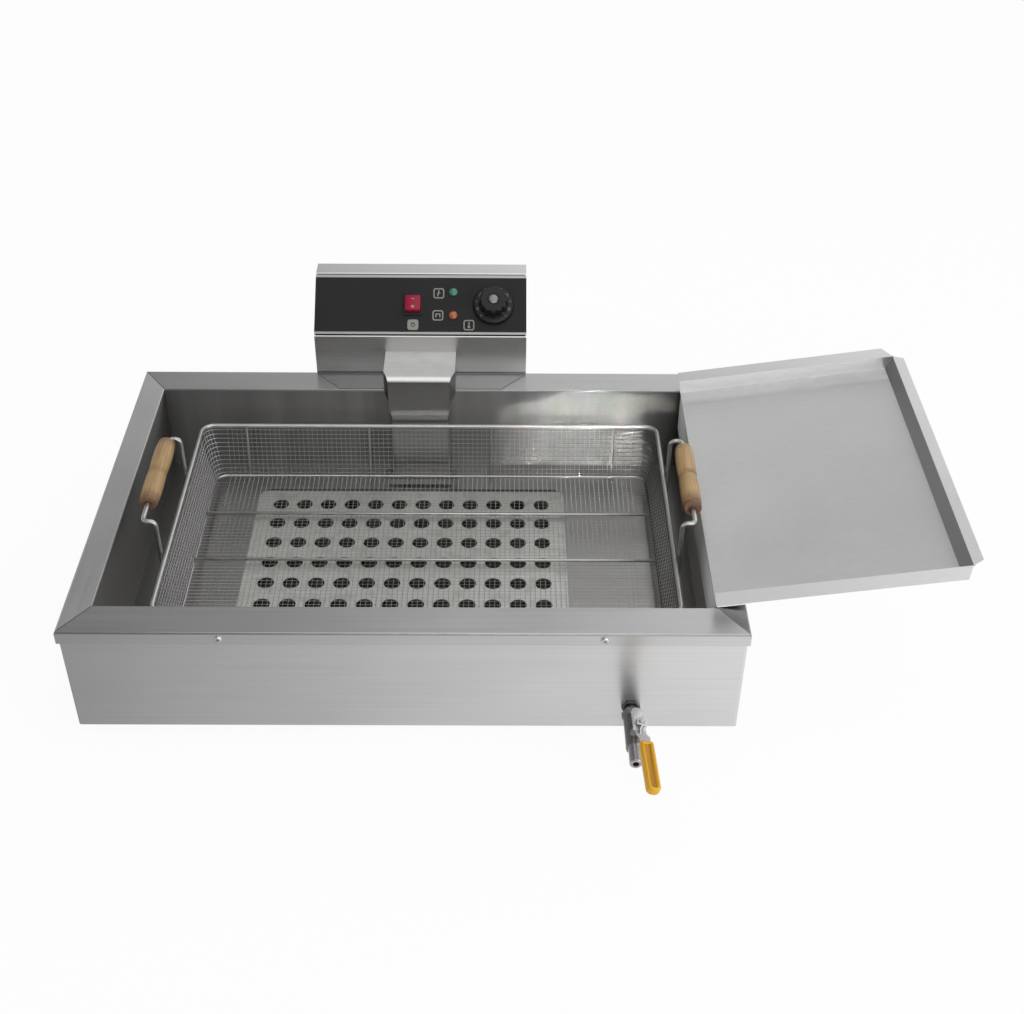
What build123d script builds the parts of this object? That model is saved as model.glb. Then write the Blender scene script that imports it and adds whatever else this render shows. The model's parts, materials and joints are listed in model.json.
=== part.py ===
from build123d import *
from math import cos, radians, sin
import os

# Countertop electric deep fryer: casing and oil tank, control head with heater,
# wire basket, hook-on drain board and a ball valve for draining.
# Millimetres. X to the right, Y to the back, Z up. The origin lies on the counter,
# below the middle of the rim.

# Casing and tank
rim_length = 603.0
rim_depth = 416.0
rim_end_strip = 25.5
rim_long_strip = 35.0
rim_lip = 13.0
rim_bend = 2.0
body_height = 115.0
foot_height = 12.0
tank_depth = 98.0
tank_sheet = 1.5
sheet = 1.2
casing_corner = 2.5
casing_return = 15.0
slip = 0.3
run_gap = 0.08
rim_screw_spacing = 335.0
rim_screw_x = 7.0
rim_screw_drop = 7.0
screw_radius = 2.0
screw_head_radius = 3.6
screw_head = 1.8
screw_length = 7.0

# Feet
foot_inset = 42.0
foot_radius = 12.0
foot_top_radius = 14.0
foot_recess = 6.0
foot_recess_play = 1.0
foot_screw_head = 3.0
foot_nut = 3.2
foot_nut_width = 7.0

# Drain valve
drain_x = 201.6
drain_height = 38.0
nipple_radius = 5.6
nipple_bore = 3.4
nipple_collar_radius = 9.0
nipple_collar = 3.0
nipple_nut_width = 15.0
nipple_nut = 4.0
valve_inlet_reach = 5.0
valve_inlet_stub = 8.0
valve_length = 44.0
valve_radius = 7.6
valve_nose = 1.6
valve_hex_width = 15.4
valve_hex = 7.0
valve_bore = 2.8
ball_radius = 5.2
ball_slot = 2.2
ball_slot_depth = 1.7
seat_wall = 1.0
seat_thickness = 2.7
valve_stop_back = 24.4
outlet_radius = 5.6
outlet_reach = 17.0
outlet_chamfer = 1.0
stem_lean = 14.0
stem_radius = 2.2
stem_boss_radius = 5.2
stem_boss = 13.5
stem_end = 1.0
packing_nut_width = 10.0
packing_nut = 3.5
lever_sheet = 2.0
lever_width = 9.0
lever_round = 4.0
lever_eye_radius = 6.5
lever_turn = 3.0
lever_crank = 6.0
lever_straight = 12.0
lever_rise_run = 9.0
lever_reach = 80.0
lever_tail = 19.0
lever_nut_width = 8.5
lever_nut = 3.8
sleeve_start = 27.0
sleeve_width = 12.4
sleeve_height = 8.0
sleeve_round = 3.0
sleeve_wall = 2.0

# Control head
head_x = -3.0
head_width = 226.0
head_set_in = 4.0
head_face = 47.0
head_top = 20.0
head_drop = 40.0
head_stand_off = 1.5
flange_reach = 30.0
flange_cut = 27.0
panel_tilt = 50.0
panel_slope = 72.0
tray_margin = 2.6
tray_fold = 8.0
fascia_sheet = 0.8
fascia_low = 5.4
fascia_high = 66.0
cover_margin = 9.0
cover_overlap = 6.0
vent_count = 7
vent_length = 60.0
vent_width = 4.0
vent_pitch = 10.0
cover_screw_radius = 2.8
gland_x = 70.0
gland_height = 110.0
gland_radius = 9.0
gland_bore = 4.5
gland_hex_width = 23.0
gland_hex = 5.0
gland_dome_radius = 10.0
gland_dome = 9.0
gland_taper = 12.0
gland_thread = 8.0
gland_nut = 4.0

# Panel controls, across and up the slope from its lower edge
rocker_u = -8.4
rocker_v = 36.0
rocker_length = 17.2
rocker_width = 16.5
rocker_wall = 1.3
rocker_flange = 1.4
rocker_crown = 3.4
rocker_valley = 1.8
rocker_throw = 18.0
rocker_lift = 1.6
rocker_frame = 1.4
rocker_frame_corner = 2.0
rocker_body_depth = 14.0
lamp_u = 34.8
lamp_high_v = 49.6
lamp_low_v = 23.7
lamp_radius = 5.2
lamp_dome = 2.6
lamp_round = 2.0
lamp_neck_radius = 4.0
lamp_depth = 18.0
knob_u = 77.7
knob_v = 35.0
knob_radius = 22.0
knob_skirt = 4.0
knob_skirt_taper = 20.0
knob_grip_radius = 15.5
knob_height = 19.0
knob_taper = 5.0
knob_round = 1.5
knob_lift = 1.0
cap_radius = 5.0
cap_height = 1.0
spindle_radius = 3.0
spindle_reach = 14.0
spindle_bush_radius = 5.0
thermostat_width = 34.0
thermostat_depth = 26.0
thermostat_corner = 3.0

# Parts inside the head
contactor_width = 45.0
contactor_depth = 46.0
contactor_base = 31.0
contactor_nose_depth = 25.0
contactor_height = 52.0
contactor_u = -70.0
contactor_gap = 6.0
block_length = 70.0
block_depth = 22.0
block_height = 20.0
block_poles = 5
block_well_radius = 4.6
block_well = 10.0
block_u = 62.0
block_gap = 8.0
limit_width = 30.0
limit_depth = 22.0
limit_height = 36.0
limit_u = -2.0
limit_gap = 8.0
limit_corner = 2.0

# Riser over the rim
bridge_width = 75.5
bridge_nose = 65.0
bridge_rise = 28.5
bridge_reach = 54.0
bridge_taper = 15.0
bridge_bend = 6.0
bridge_skirt = 14.0
shroud_width = 61.5
shroud_step = 4.5
shroud_slot = 44.0
shroud_corner = 2.0

# Heater, with its gaps to the walls of the tank
element_radius = 4.0
element_rest = 1.5
element_half_gap = 14.0
element_pitch = 50.0
element_loops = 2
element_bend = 14.0
element_leg_gap = 13.0
element_leg_height = 143.0
element_front_gap = 55.0
element_link_gap = 18.0
element_back_gap = 75.0
element_tail = 22.0
leg_window_side = 2.0
leg_window_rise = 4.0
terminal_radius = 6.0
terminal_length = 10.0
terminal_pin_radius = 2.0
terminal_pin = 9.0
clamp_width = 56.0
clamp_height = 24.0
clamp_sheet = 3.0
bulb_radius = 3.0
bulb_length = 80.0
bulb_gap = 33.0
capillary_radius = 1.0
capillary_bend = 12.0
capillary_reach = 18.0
capillary_rise = 30.0
capillary_side = 8.0
capillary_loop = 22.0
clip_gap = 89.0
clip_width = 12.0
clip_sheet = 1.0
rest_margin = 57.0
rest_width = 10.0

# Perforated element cover, with its gaps to the walls of the tank
plate_end_gap = 115.0
plate_side_gap = 51.0
plate_x = -11.0
plate_y = -12.0
plate_rise = 13.0
plate_corner = 14.0
plate_leg_margin = 32.0
hole_radius = 8.2
hole_columns = 12
hole_rows = 7
hole_margin_x = 24.0
hole_margin_y = 27.2
tongue_width = 76.0
tongue_slot_length = 68.0
tongue_slot = 6.0
tongue_slot_gap = 2.5

# Basket, with its gaps to the walls of the tank
basket_end_gap = 33.5
basket_side_gap = 23.0
basket_x = 8.0
basket_y = -8.0
basket_taper = 10.0
basket_height = 59.0
basket_corner = 12.0
basket_clearance = 0.4
rim_wire = 5.0
frame_wire = 3.2
rib_wire = 2.6
rib_spacing = 130.0
rib_count = 4
rib_hook = 8.0
bar_spacing = 74.3
bar_count = 3
bar_shift = -5.7
net_sheet = 1.2
net_bar = 1.6
net_columns_long = 14
net_columns_short = 8
net_rows = 2
net_floor_columns = 14
net_floor_rows = 8

# Basket handles
handle_wire = 4.6
handle_bend = 5.5
handle_span = 132.0
handle_height = 40.0
handle_foot = 24.0
grip_length = 98.0
grip_end_radius = 8.0
grip_radius = 9.2
grip_neck_radius = 8.6
grip_play = 0.2
grip_clear = 0.5
left_grip_slide = 10.0
right_grip_slide = 4.0

# Drain board
board_length = 215.0
board_side_gap = 4.0
board_y = -2.0
board_slope = 8.5
board_wall = 15.5
board_flare = 8.5
board_side_lip = 17.5
board_end_lip = 10.0
board_lip_cut = 6.0
board_hook = 42.0
board_hook_inset = 3.0
board_wall_gap = 0.5
board_lift = 0.4
bracket_leg = 50.0
bracket_top = 22.0
bracket_length = 240.0

# Levels and places that follow from these
rim_top = foot_height + body_height
rim_back = rim_depth / 2
opening_length = rim_length - 2 * rim_end_strip
opening_depth = rim_depth - 2 * rim_long_strip
tank_floor = rim_top - tank_depth
tank_front = -opening_depth / 2
tank_back = opening_depth / 2
casing_length = rim_length - 2 * (tank_sheet + slip)
casing_depth = rim_depth - 2 * (tank_sheet + slip)
casing_top = rim_top - tank_sheet
casing_front = -casing_depth / 2
base_top = foot_height + 2 * sheet
lip_screw_height = rim_top - rim_screw_drop
element_x = head_x
element_leg_y = tank_back - element_leg_gap
element_front = tank_front + element_front_gap
element_back = tank_back - element_back_gap
plate_length = opening_length - 2 * plate_end_gap
plate_depth = opening_depth - 2 * plate_side_gap
basket_length = opening_length - 2 * basket_end_gap
basket_depth = opening_depth - 2 * basket_side_gap
board_depth = opening_depth - 2 * board_side_gap

os.makedirs("parts", exist_ok=True)
pieces = {}


def facing_front(x, y, z):
    """A plane at a point, with its normal towards the front."""
    return Plane(origin=(x, y, z), x_dir=(1, 0, 0), z_dir=(0, -1, 0))


def facing_back(x, y, z):
    """A plane at a point, with its normal towards the back."""
    return Plane(origin=(x, y, z), x_dir=(-1, 0, 0), z_dir=(0, 1, 0))


# Outer casing: a sheet wrapped round the tank, with its lower edge turned in
with BuildPart() as outer_casing:
    with BuildSketch(Plane.XY.offset(foot_height)):
        RectangleRounded(casing_length, casing_depth, casing_corner)
    extrude(amount=casing_top - foot_height)
    with BuildSketch(Plane.XY.offset(foot_height + sheet)):
        RectangleRounded(casing_length - 2 * sheet, casing_depth - 2 * sheet, casing_corner - sheet)
    extrude(amount=casing_top - foot_height, mode=Mode.SUBTRACT)
    with BuildSketch(Plane.XY.offset(foot_height)):
        Rectangle(casing_length - 2 * casing_return, casing_depth - 2 * casing_return)
    extrude(amount=sheet, mode=Mode.SUBTRACT)
    with BuildSketch(facing_front(drain_x, casing_front, drain_height)):
        Circle(nipple_radius + slip)
    extrude(amount=-sheet, mode=Mode.SUBTRACT)
    for plane in (
        facing_front(rim_screw_x, casing_front, lip_screw_height),
        facing_back(rim_screw_x, -casing_front, lip_screw_height),
    ):
        with BuildSketch(plane):
            with GridLocations(rim_screw_spacing, 0, 2, 1):
                Circle(screw_radius + run_gap)
        extrude(amount=-sheet, mode=Mode.SUBTRACT)
pieces["outer_casing"] = outer_casing

foot_places = GridLocations(casing_length - 2 * foot_inset, casing_depth - 2 * foot_inset, 2, 2)

# Base plate: lies on the casing's turned-in edge and carries the feet
with BuildPart() as base_plate:
    with BuildSketch(Plane.XY.offset(foot_height + sheet)):
        RectangleRounded(
            casing_length - 2 * (sheet + slip), casing_depth - 2 * (sheet + slip), casing_corner
        )
        with foot_places:
            Circle(screw_radius + run_gap, mode=Mode.SUBTRACT)
    extrude(amount=sheet)
pieces["base_plate"] = base_plate

standing = (Align.CENTER, Align.CENTER, Align.MIN)

# Rubber feet, moulded with a recess for the screw head
with BuildPart() as rubber_feet:
    with foot_places:
        Cone(foot_radius, foot_top_radius, foot_height + sheet, align=standing)
        Cylinder(screw_head_radius + foot_recess_play, foot_recess, align=standing, mode=Mode.SUBTRACT)
        Cylinder(screw_radius + run_gap, foot_height + sheet, align=standing, mode=Mode.SUBTRACT)
pieces["rubber_feet"] = rubber_feet

# Foot screws, each with its nut on the base plate
with BuildPart() as foot_screws:
    with BuildSketch(Plane.XY.offset(foot_recess - foot_screw_head)):
        with foot_places:
            Circle(screw_head_radius)
    extrude(amount=foot_screw_head)
    with BuildSketch(Plane.XY.offset(foot_recess)):
        with foot_places:
            Circle(screw_radius)
    extrude(amount=base_top + foot_nut + sheet - foot_recess)
    with BuildSketch(Plane.XY.offset(base_top)):
        with foot_places:
            RegularPolygon(foot_nut_width / 2, 6, major_radius=False)
    extrude(amount=foot_nut)
pieces["foot_screws"] = foot_screws

# Oil tank: a welded bowl whose flange makes the flat rim and its down-turned lip
with BuildPart() as oil_tank:
    with BuildSketch(Plane.XY.offset(rim_top)):
        Rectangle(rim_length, rim_depth)
    extrude(amount=-rim_lip)
    fillet(oil_tank.faces().sort_by(Axis.Z)[-1].edges(), rim_bend)
    with BuildSketch(Plane.XY.offset(rim_top - tank_sheet)):
        Rectangle(rim_length - 2 * tank_sheet, rim_depth - 2 * tank_sheet)
    extrude(amount=-rim_lip, mode=Mode.SUBTRACT)
    with BuildSketch(Plane.XY.offset(rim_top - tank_sheet)):
        Rectangle(opening_length + 2 * tank_sheet, opening_depth + 2 * tank_sheet)
    extrude(amount=-tank_depth)
    with BuildSketch(Plane.XY.offset(rim_top)):
        Rectangle(opening_length, opening_depth)
    extrude(amount=-tank_depth, mode=Mode.SUBTRACT)
    fillet(oil_tank.faces().sort_by(Axis.Z)[-1].inner_wires()[0].edges(), tank_sheet / 2)
    with BuildSketch(facing_front(drain_x, tank_front, drain_height)):
        Circle(nipple_radius + run_gap)
    extrude(amount=tank_sheet, mode=Mode.SUBTRACT)
    for plane in (
        facing_front(rim_screw_x, -rim_back, lip_screw_height),
        facing_back(rim_screw_x, rim_back, lip_screw_height),
    ):
        with BuildSketch(plane):
            with GridLocations(rim_screw_spacing, 0, 2, 1):
                Circle(screw_radius + run_gap)
        extrude(amount=-tank_sheet, mode=Mode.SUBTRACT)
pieces["oil_tank"] = oil_tank

# Rim screws: hold the lip to the casing, front and back
with BuildPart() as rim_screws:
    for plane in (
        facing_front(rim_screw_x, -rim_back, lip_screw_height),
        facing_back(rim_screw_x, rim_back, lip_screw_height),
    ):
        with BuildSketch(plane):
            with GridLocations(rim_screw_spacing, 0, 2, 1):
                Circle(screw_head_radius)
        extrude(amount=screw_head)
        with BuildSketch(plane):
            with GridLocations(rim_screw_spacing, 0, 2, 1):
                Circle(screw_radius)
        extrude(amount=-screw_length)
    fillet(rim_screws.faces().filter_by(Axis.Y).group_by(SortBy.AREA)[-1].edges(), screw_head / 3)
pieces["rim_screws"] = rim_screws

# Drain valve: places along its pipe, which runs forward from the tank
nipple_front = casing_front - nipple_nut - valve_inlet_reach - valve_inlet_stub
valve_inlet = nipple_front + valve_inlet_stub
valve_outlet = valve_inlet - valve_length
seat_face = ball_radius + seat_wall
ball_y = valve_inlet - valve_stop_back - seat_face
ball_centre = (drain_x, ball_y, drain_height)
stem_plane = Plane(
    origin=ball_centre,
    x_dir=(0, -1, 0),
    z_dir=(sin(radians(stem_lean)), 0, cos(radians(stem_lean))),
)
lever_plane = Plane(
    origin=ball_centre,
    x_dir=stem_plane.x_dir * cos(radians(lever_turn)) + stem_plane.y_dir * sin(radians(lever_turn)),
    z_dir=stem_plane.z_dir,
)
packing_top = stem_boss + packing_nut
lever_base = packing_top + slip
lever_top = lever_base + lever_sheet

# Drain nipple: a pipe with a welded collar behind the tank wall
with BuildPart() as drain_nipple:
    with BuildSketch(facing_front(drain_x, tank_front, drain_height)):
        Circle(nipple_radius)
    extrude(amount=tank_front - nipple_front)
    with BuildSketch(facing_front(drain_x, tank_front - tank_sheet, drain_height)):
        Circle(nipple_collar_radius)
    extrude(amount=nipple_collar)
    with BuildSketch(facing_front(drain_x, tank_front, drain_height)):
        Circle(nipple_bore)
    extrude(amount=tank_front - nipple_front, mode=Mode.SUBTRACT)
pieces["drain_nipple"] = drain_nipple

# Lock nut that draws the nipple up to the casing
with BuildPart() as nipple_nut_piece:
    with BuildSketch(facing_front(drain_x, casing_front, drain_height)):
        RegularPolygon(nipple_nut_width / 2, 6, major_radius=False)
        Circle(nipple_radius + run_gap, mode=Mode.SUBTRACT)
    extrude(amount=nipple_nut)
pieces["nipple_nut"] = nipple_nut_piece

# Valve body: a tube with a hexagon at its inlet and a boss for the stem
with BuildPart() as valve_body:
    with BuildSketch(facing_front(drain_x, valve_inlet, drain_height)):
        Circle(valve_radius)
    extrude(amount=valve_length)
    chamfer(valve_body.faces().sort_by(Axis.Y)[0].edges(), valve_nose)
    with BuildSketch(facing_front(drain_x, valve_inlet, drain_height)):
        RegularPolygon(valve_hex_width / 2, 6, major_radius=False)
    extrude(amount=valve_hex)
    with BuildSketch(stem_plane):
        Circle(stem_boss_radius)
    extrude(amount=stem_boss)
    with BuildSketch(facing_front(drain_x, valve_inlet, drain_height)):
        Circle(nipple_radius + run_gap)
    extrude(amount=valve_inlet_stub, mode=Mode.SUBTRACT)
    with BuildSketch(facing_front(drain_x, valve_inlet, drain_height)):
        Circle(valve_bore)
    extrude(amount=valve_length, mode=Mode.SUBTRACT)
    with BuildSketch(facing_front(drain_x, ball_y + seat_face, drain_height)):
        Circle(seat_face)
    extrude(amount=ball_y + seat_face - valve_outlet, mode=Mode.SUBTRACT)
    with BuildSketch(stem_plane):
        Circle(stem_radius + run_gap)
    extrude(amount=stem_boss, mode=Mode.SUBTRACT)
pieces["valve_body"] = valve_body

# Outlet end: screws into the body, holds the front seat and takes a hose
with BuildPart() as valve_outlet_end:
    with BuildSketch(facing_front(drain_x, ball_y - seat_face, drain_height)):
        Circle(seat_face - run_gap)
    extrude(amount=ball_y - seat_face - valve_outlet)
    with BuildSketch(facing_front(drain_x, valve_outlet, drain_height)):
        Circle(outlet_radius)
    extrude(amount=outlet_reach)
    with BuildSketch(facing_front(drain_x, ball_y - seat_face, drain_height)):
        Circle(valve_bore)
    extrude(amount=ball_y - seat_face - valve_outlet + outlet_reach, mode=Mode.SUBTRACT)
    chamfer(valve_outlet_end.faces().sort_by(Axis.Y)[0].outer_wire().edges(), outlet_chamfer)
pieces["valve_outlet"] = valve_outlet_end

# Two seat rings, hollowed to the ball
with BuildPart() as valve_seats:
    for start in (ball_y + seat_face, ball_y - seat_face + seat_thickness):
        with BuildSketch(facing_front(drain_x, start, drain_height)):
            Circle(seat_face - run_gap)
            Circle(valve_bore, mode=Mode.SUBTRACT)
        extrude(amount=seat_thickness)
    with Locations(ball_centre):
        Sphere(ball_radius + run_gap, mode=Mode.SUBTRACT)
pieces["valve_seats"] = valve_seats

# Ball with its bore and the slot that takes the stem
with BuildPart(stem_plane) as valve_ball:
    Sphere(ball_radius)
    with BuildSketch(facing_front(drain_x, ball_y + ball_radius, drain_height)):
        Circle(valve_bore - run_gap)
    extrude(amount=2 * ball_radius, mode=Mode.SUBTRACT)
    with BuildSketch(stem_plane.offset(ball_radius - ball_slot_depth)):
        Rectangle(2 * ball_radius, ball_slot)
    extrude(amount=ball_slot_depth, mode=Mode.SUBTRACT)
pieces["valve_ball"] = valve_ball

# Stem: a tongue in the ball's slot, then a round shaft up to the lever nut
with BuildPart() as valve_stem:
    with BuildSketch(stem_plane.offset(ball_radius - ball_slot_depth)):
        Rectangle(2 * stem_radius, ball_slot)
        Circle(stem_radius, mode=Mode.INTERSECT)
    extrude(amount=ball_slot_depth)
    with BuildSketch(stem_plane.offset(ball_radius)):
        Circle(stem_radius)
    extrude(amount=lever_top + lever_nut + stem_end - ball_radius)
pieces["valve_stem"] = valve_stem

# Packing nut round the stem
with BuildPart() as packing_nut_piece:
    with BuildSketch(stem_plane.offset(stem_boss)):
        RegularPolygon(packing_nut_width / 2, 6, major_radius=False)
        Circle(stem_radius + run_gap, mode=Mode.SUBTRACT)
    extrude(amount=packing_nut)
pieces["packing_nut"] = packing_nut_piece

# Lever: a cranked steel strip with a wide eye, open when it points along the pipe
lever_side = Plane(origin=ball_centre, x_dir=lever_plane.x_dir, z_dir=-lever_plane.y_dir)
with BuildPart() as valve_lever:
    with BuildSketch(lever_side):
        with BuildLine():
            crank = Polyline(
                (0, lever_base),
                (lever_straight, lever_base),
                (lever_straight + lever_rise_run, lever_base + lever_crank),
                (lever_reach, lever_base + lever_crank),
            )
            offset(crank, amount=lever_sheet, side=Side.LEFT, kind=Kind.INTERSECTION)
        make_face()
    extrude(amount=lever_width / 2, both=True)
    fillet(
        valve_lever.edges().filter_by(Axis(stem_plane.origin, stem_plane.z_dir)).sort_by(Axis.Y)[:2],
        lever_round,
    )
    with BuildSketch(lever_plane.offset(lever_base)):
        with Locations(((lever_eye_radius - lever_tail) / 2, 0)):
            SlotOverall(lever_tail + lever_eye_radius, 2 * lever_eye_radius)
    extrude(amount=lever_sheet)
    with BuildSketch(stem_plane.offset(lever_base)):
        Circle(stem_radius)
    extrude(amount=lever_sheet, mode=Mode.SUBTRACT)
pieces["valve_lever"] = valve_lever

# Nut that holds the lever on the stem
with BuildPart() as lever_nut_piece:
    with BuildSketch(stem_plane.offset(lever_top)):
        RegularPolygon(lever_nut_width / 2, 6, major_radius=False)
        Circle(stem_radius, mode=Mode.SUBTRACT)
    extrude(amount=lever_nut)
pieces["lever_nut"] = lever_nut_piece

# Dipped plastic sleeve on the lever
sleeve_plane = Plane(
    origin=lever_plane.from_local_coords((sleeve_start, 0, lever_base + lever_crank + lever_sheet / 2)),
    x_dir=lever_plane.y_dir,
    z_dir=lever_plane.x_dir,
)
with BuildPart() as lever_sleeve:
    with BuildSketch(sleeve_plane):
        RectangleRounded(sleeve_width, sleeve_height, sleeve_round)
    extrude(amount=lever_reach + sleeve_wall - sleeve_start)
    fillet(lever_sleeve.faces().sort_by(Axis.Y)[0].edges(), sleeve_round)
    with BuildSketch(sleeve_plane):
        Rectangle(lever_width, lever_sheet)
    extrude(amount=lever_reach - sleeve_start, mode=Mode.SUBTRACT)
pieces["lever_sleeve"] = lever_sleeve

# Control head: a folded box with a sloping panel, hung behind the tank
head_front = rim_back - head_set_in
face_top = rim_top + head_face
slope_run = panel_slope * sin(radians(panel_tilt))
slope_rise = panel_slope * cos(radians(panel_tilt))
head_peak = face_top + slope_rise
head_back = head_front + slope_run + head_top
head_floor = rim_top - head_drop
panel_plane = Plane(
    origin=(head_x, head_front, face_top),
    x_dir=(1, 0, 0),
    z_dir=(0, -cos(radians(panel_tilt)), sin(radians(panel_tilt))),
)


def on_panel(across, up, lift=0.0):
    """The panel's plane moved to a point across and up the slope, and out of it."""
    return Plane(
        origin=panel_plane.from_local_coords((across, up, lift)),
        x_dir=panel_plane.x_dir,
        z_dir=panel_plane.z_dir,
    )


fascia_top = sheet + fascia_sheet
leg_window_width = 2 * (element_half_gap + element_radius + leg_window_side)
leg_window_height = 2 * (element_radius + leg_window_rise)
bridge_front = head_front - bridge_reach

with BuildPart() as head_shell:
    with BuildSketch(Plane.YZ.offset(head_x - head_width / 2)):
        with BuildLine():
            Polyline(
                (head_front, rim_top),
                (head_front, face_top),
                (head_front + slope_run, head_peak),
                (head_back, head_peak),
                (head_back, head_floor),
                (rim_back + head_stand_off, head_floor),
                (rim_back + head_stand_off, rim_top),
                close=True,
            )
        make_face()
    extrude(amount=head_width)
    with BuildSketch(Plane.YZ.offset(head_x - head_width / 2 + sheet)):
        with BuildLine():
            Polyline(
                (head_front + sheet, rim_top + sheet),
                (head_front + sheet, face_top),
                (head_front + slope_run, head_peak - sheet),
                (head_back - sheet, head_peak - sheet),
                (head_back - sheet, head_floor + sheet),
                (rim_back + head_stand_off + sheet, head_floor + sheet),
                (rim_back + head_stand_off + sheet, rim_top + sheet),
                close=True,
            )
        make_face()
    extrude(amount=head_width - 2 * sheet, mode=Mode.SUBTRACT)
    with BuildSketch(on_panel(0, panel_slope / 2, sheet)):
        Rectangle(head_width - 2 * sheet, panel_slope - 2 * sheet)
    extrude(amount=-4 * sheet, mode=Mode.SUBTRACT)
    with BuildSketch(facing_back(head_x, head_back, (head_floor + head_peak) / 2)):
        Rectangle(head_width - 2 * cover_margin, head_peak - head_floor - 2 * cover_margin)
    extrude(amount=-sheet, mode=Mode.SUBTRACT)
    with BuildSketch(facing_front(element_x, head_front, element_leg_height)):
        Rectangle(leg_window_width, leg_window_height)
    extrude(amount=-sheet, mode=Mode.SUBTRACT)
    with BuildSketch(Plane.XY.offset(rim_top)):
        with BuildLine():
            Polyline(
                (head_x - head_width / 2, head_front + sheet),
                (head_x - head_width / 2, head_front),
                (head_x - head_width / 2 + flange_cut, head_front - flange_reach),
                (head_x + head_width / 2 - flange_cut, head_front - flange_reach),
                (head_x + head_width / 2, head_front),
                (head_x + head_width / 2, head_front + sheet),
                close=True,
            )
        make_face()
    extrude(amount=sheet)
pieces["head_shell"] = head_shell

cover_width = head_width - 2 * cover_margin + 2 * cover_overlap
cover_height = head_peak - head_floor - 2 * cover_margin + 2 * cover_overlap
cover_middle = (head_floor + head_peak) / 2

# Back cover with a row of vent slots and the hole for the cable gland
with BuildPart() as back_cover:
    with BuildSketch(facing_back(head_x, head_back, cover_middle)):
        Rectangle(cover_width, cover_height)
        with GridLocations(0, vent_pitch, 1, vent_count):
            SlotOverall(vent_length, vent_width, mode=Mode.SUBTRACT)
        with Locations((head_x - gland_x, gland_height - cover_middle)):
            Circle(gland_radius + slip, mode=Mode.SUBTRACT)
    extrude(amount=sheet)
pieces["back_cover"] = back_cover

# Screws of the back cover
with BuildPart() as back_cover_screws:
    with BuildSketch(facing_back(head_x, head_back + sheet, cover_middle)):
        with GridLocations(cover_width - cover_overlap, cover_height - cover_overlap, 2, 2):
            Circle(cover_screw_radius)
    extrude(amount=screw_head)
pieces["back_cover_screws"] = back_cover_screws

# Cable gland: thread through the cover, lock nut inside, domed cap outside
with BuildPart() as cable_gland:
    with BuildSketch(facing_back(gland_x, head_back + sheet, gland_height)):
        RegularPolygon(gland_hex_width / 2, 6, major_radius=False)
    extrude(amount=gland_hex)
    with BuildSketch(facing_back(gland_x, head_back + sheet + gland_hex, gland_height)):
        Circle(gland_dome_radius)
    extrude(amount=gland_dome, taper=gland_taper)
    with BuildSketch(facing_back(gland_x, head_back - gland_thread, gland_height)):
        Circle(gland_radius)
    extrude(amount=gland_thread + sheet)
    with BuildSketch(facing_back(gland_x, head_back - gland_nut, gland_height)):
        RegularPolygon(gland_hex_width / 2, 6, major_radius=False)
    extrude(amount=gland_nut)
    with BuildSketch(facing_back(gland_x, head_back - gland_thread, gland_height)):
        Circle(gland_bore)
    extrude(amount=gland_thread + sheet + gland_hex + gland_dome, mode=Mode.SUBTRACT)
pieces["cable_gland"] = cable_gland

rocker_swing = (rocker_length ** 2 / 4 + rocker_crown ** 2) ** 0.5 + slip
rocker_body_width = rocker_width + 2 * rocker_wall
rocker_body_length = 2 * (rocker_swing + rocker_wall)


def panel_holes():
    """Cut-outs for the controls, in the sketch of a sheet that lies on the panel."""
    with Locations((rocker_u, rocker_v - panel_slope / 2)):
        Rectangle(rocker_body_width + 2 * slip, rocker_body_length + 2 * slip, mode=Mode.SUBTRACT)
    with Locations((lamp_u, lamp_high_v - panel_slope / 2), (lamp_u, lamp_low_v - panel_slope / 2)):
        Circle(lamp_neck_radius + slip, mode=Mode.SUBTRACT)
    with Locations((knob_u, knob_v - panel_slope / 2)):
        Circle(spindle_bush_radius + slip, mode=Mode.SUBTRACT)


# Panel tray: the sheet that carries the controls, folded in along its two long edges
with BuildPart() as panel_tray:
    with BuildSketch(on_panel(0, panel_slope / 2)):
        Rectangle(head_width, panel_slope - 2 * tray_margin)
        panel_holes()
    extrude(amount=sheet)
    for edge_v in (tray_margin + sheet / 2, panel_slope - tray_margin - sheet / 2):
        with BuildSketch(on_panel(0, edge_v)):
            Rectangle(head_width - 2 * sheet - 2 * slip, sheet)
        extrude(amount=-tray_fold)
pieces["panel_tray"] = panel_tray

# Black fascia on the tray
with BuildPart() as fascia:
    with BuildSketch(on_panel(0, panel_slope / 2, sheet)):
        with Locations((0, (fascia_low + fascia_high - panel_slope) / 2)):
            Rectangle(head_width, fascia_high - fascia_low)
        panel_holes()
    extrude(amount=fascia_sheet)
pieces["fascia"] = fascia

# Rocker switch housing: a frame on the fascia and a closed box behind it
with BuildPart() as rocker_housing:
    with BuildSketch(on_panel(rocker_u, rocker_v, fascia_top)):
        RectangleRounded(
            rocker_body_width + 2 * rocker_flange,
            rocker_body_length + 2 * rocker_flange,
            rocker_frame_corner,
        )
    extrude(amount=rocker_frame)
    with BuildSketch(on_panel(rocker_u, rocker_v, fascia_top)):
        Rectangle(rocker_body_width, rocker_body_length)
    extrude(amount=-rocker_body_depth)
    with BuildSketch(on_panel(rocker_u, rocker_v, fascia_top + rocker_frame)):
        Rectangle(rocker_width + 2 * slip, 2 * rocker_swing)
    extrude(amount=-rocker_body_depth + sheet, mode=Mode.SUBTRACT)
pieces["rocker_housing"] = rocker_housing

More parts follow.
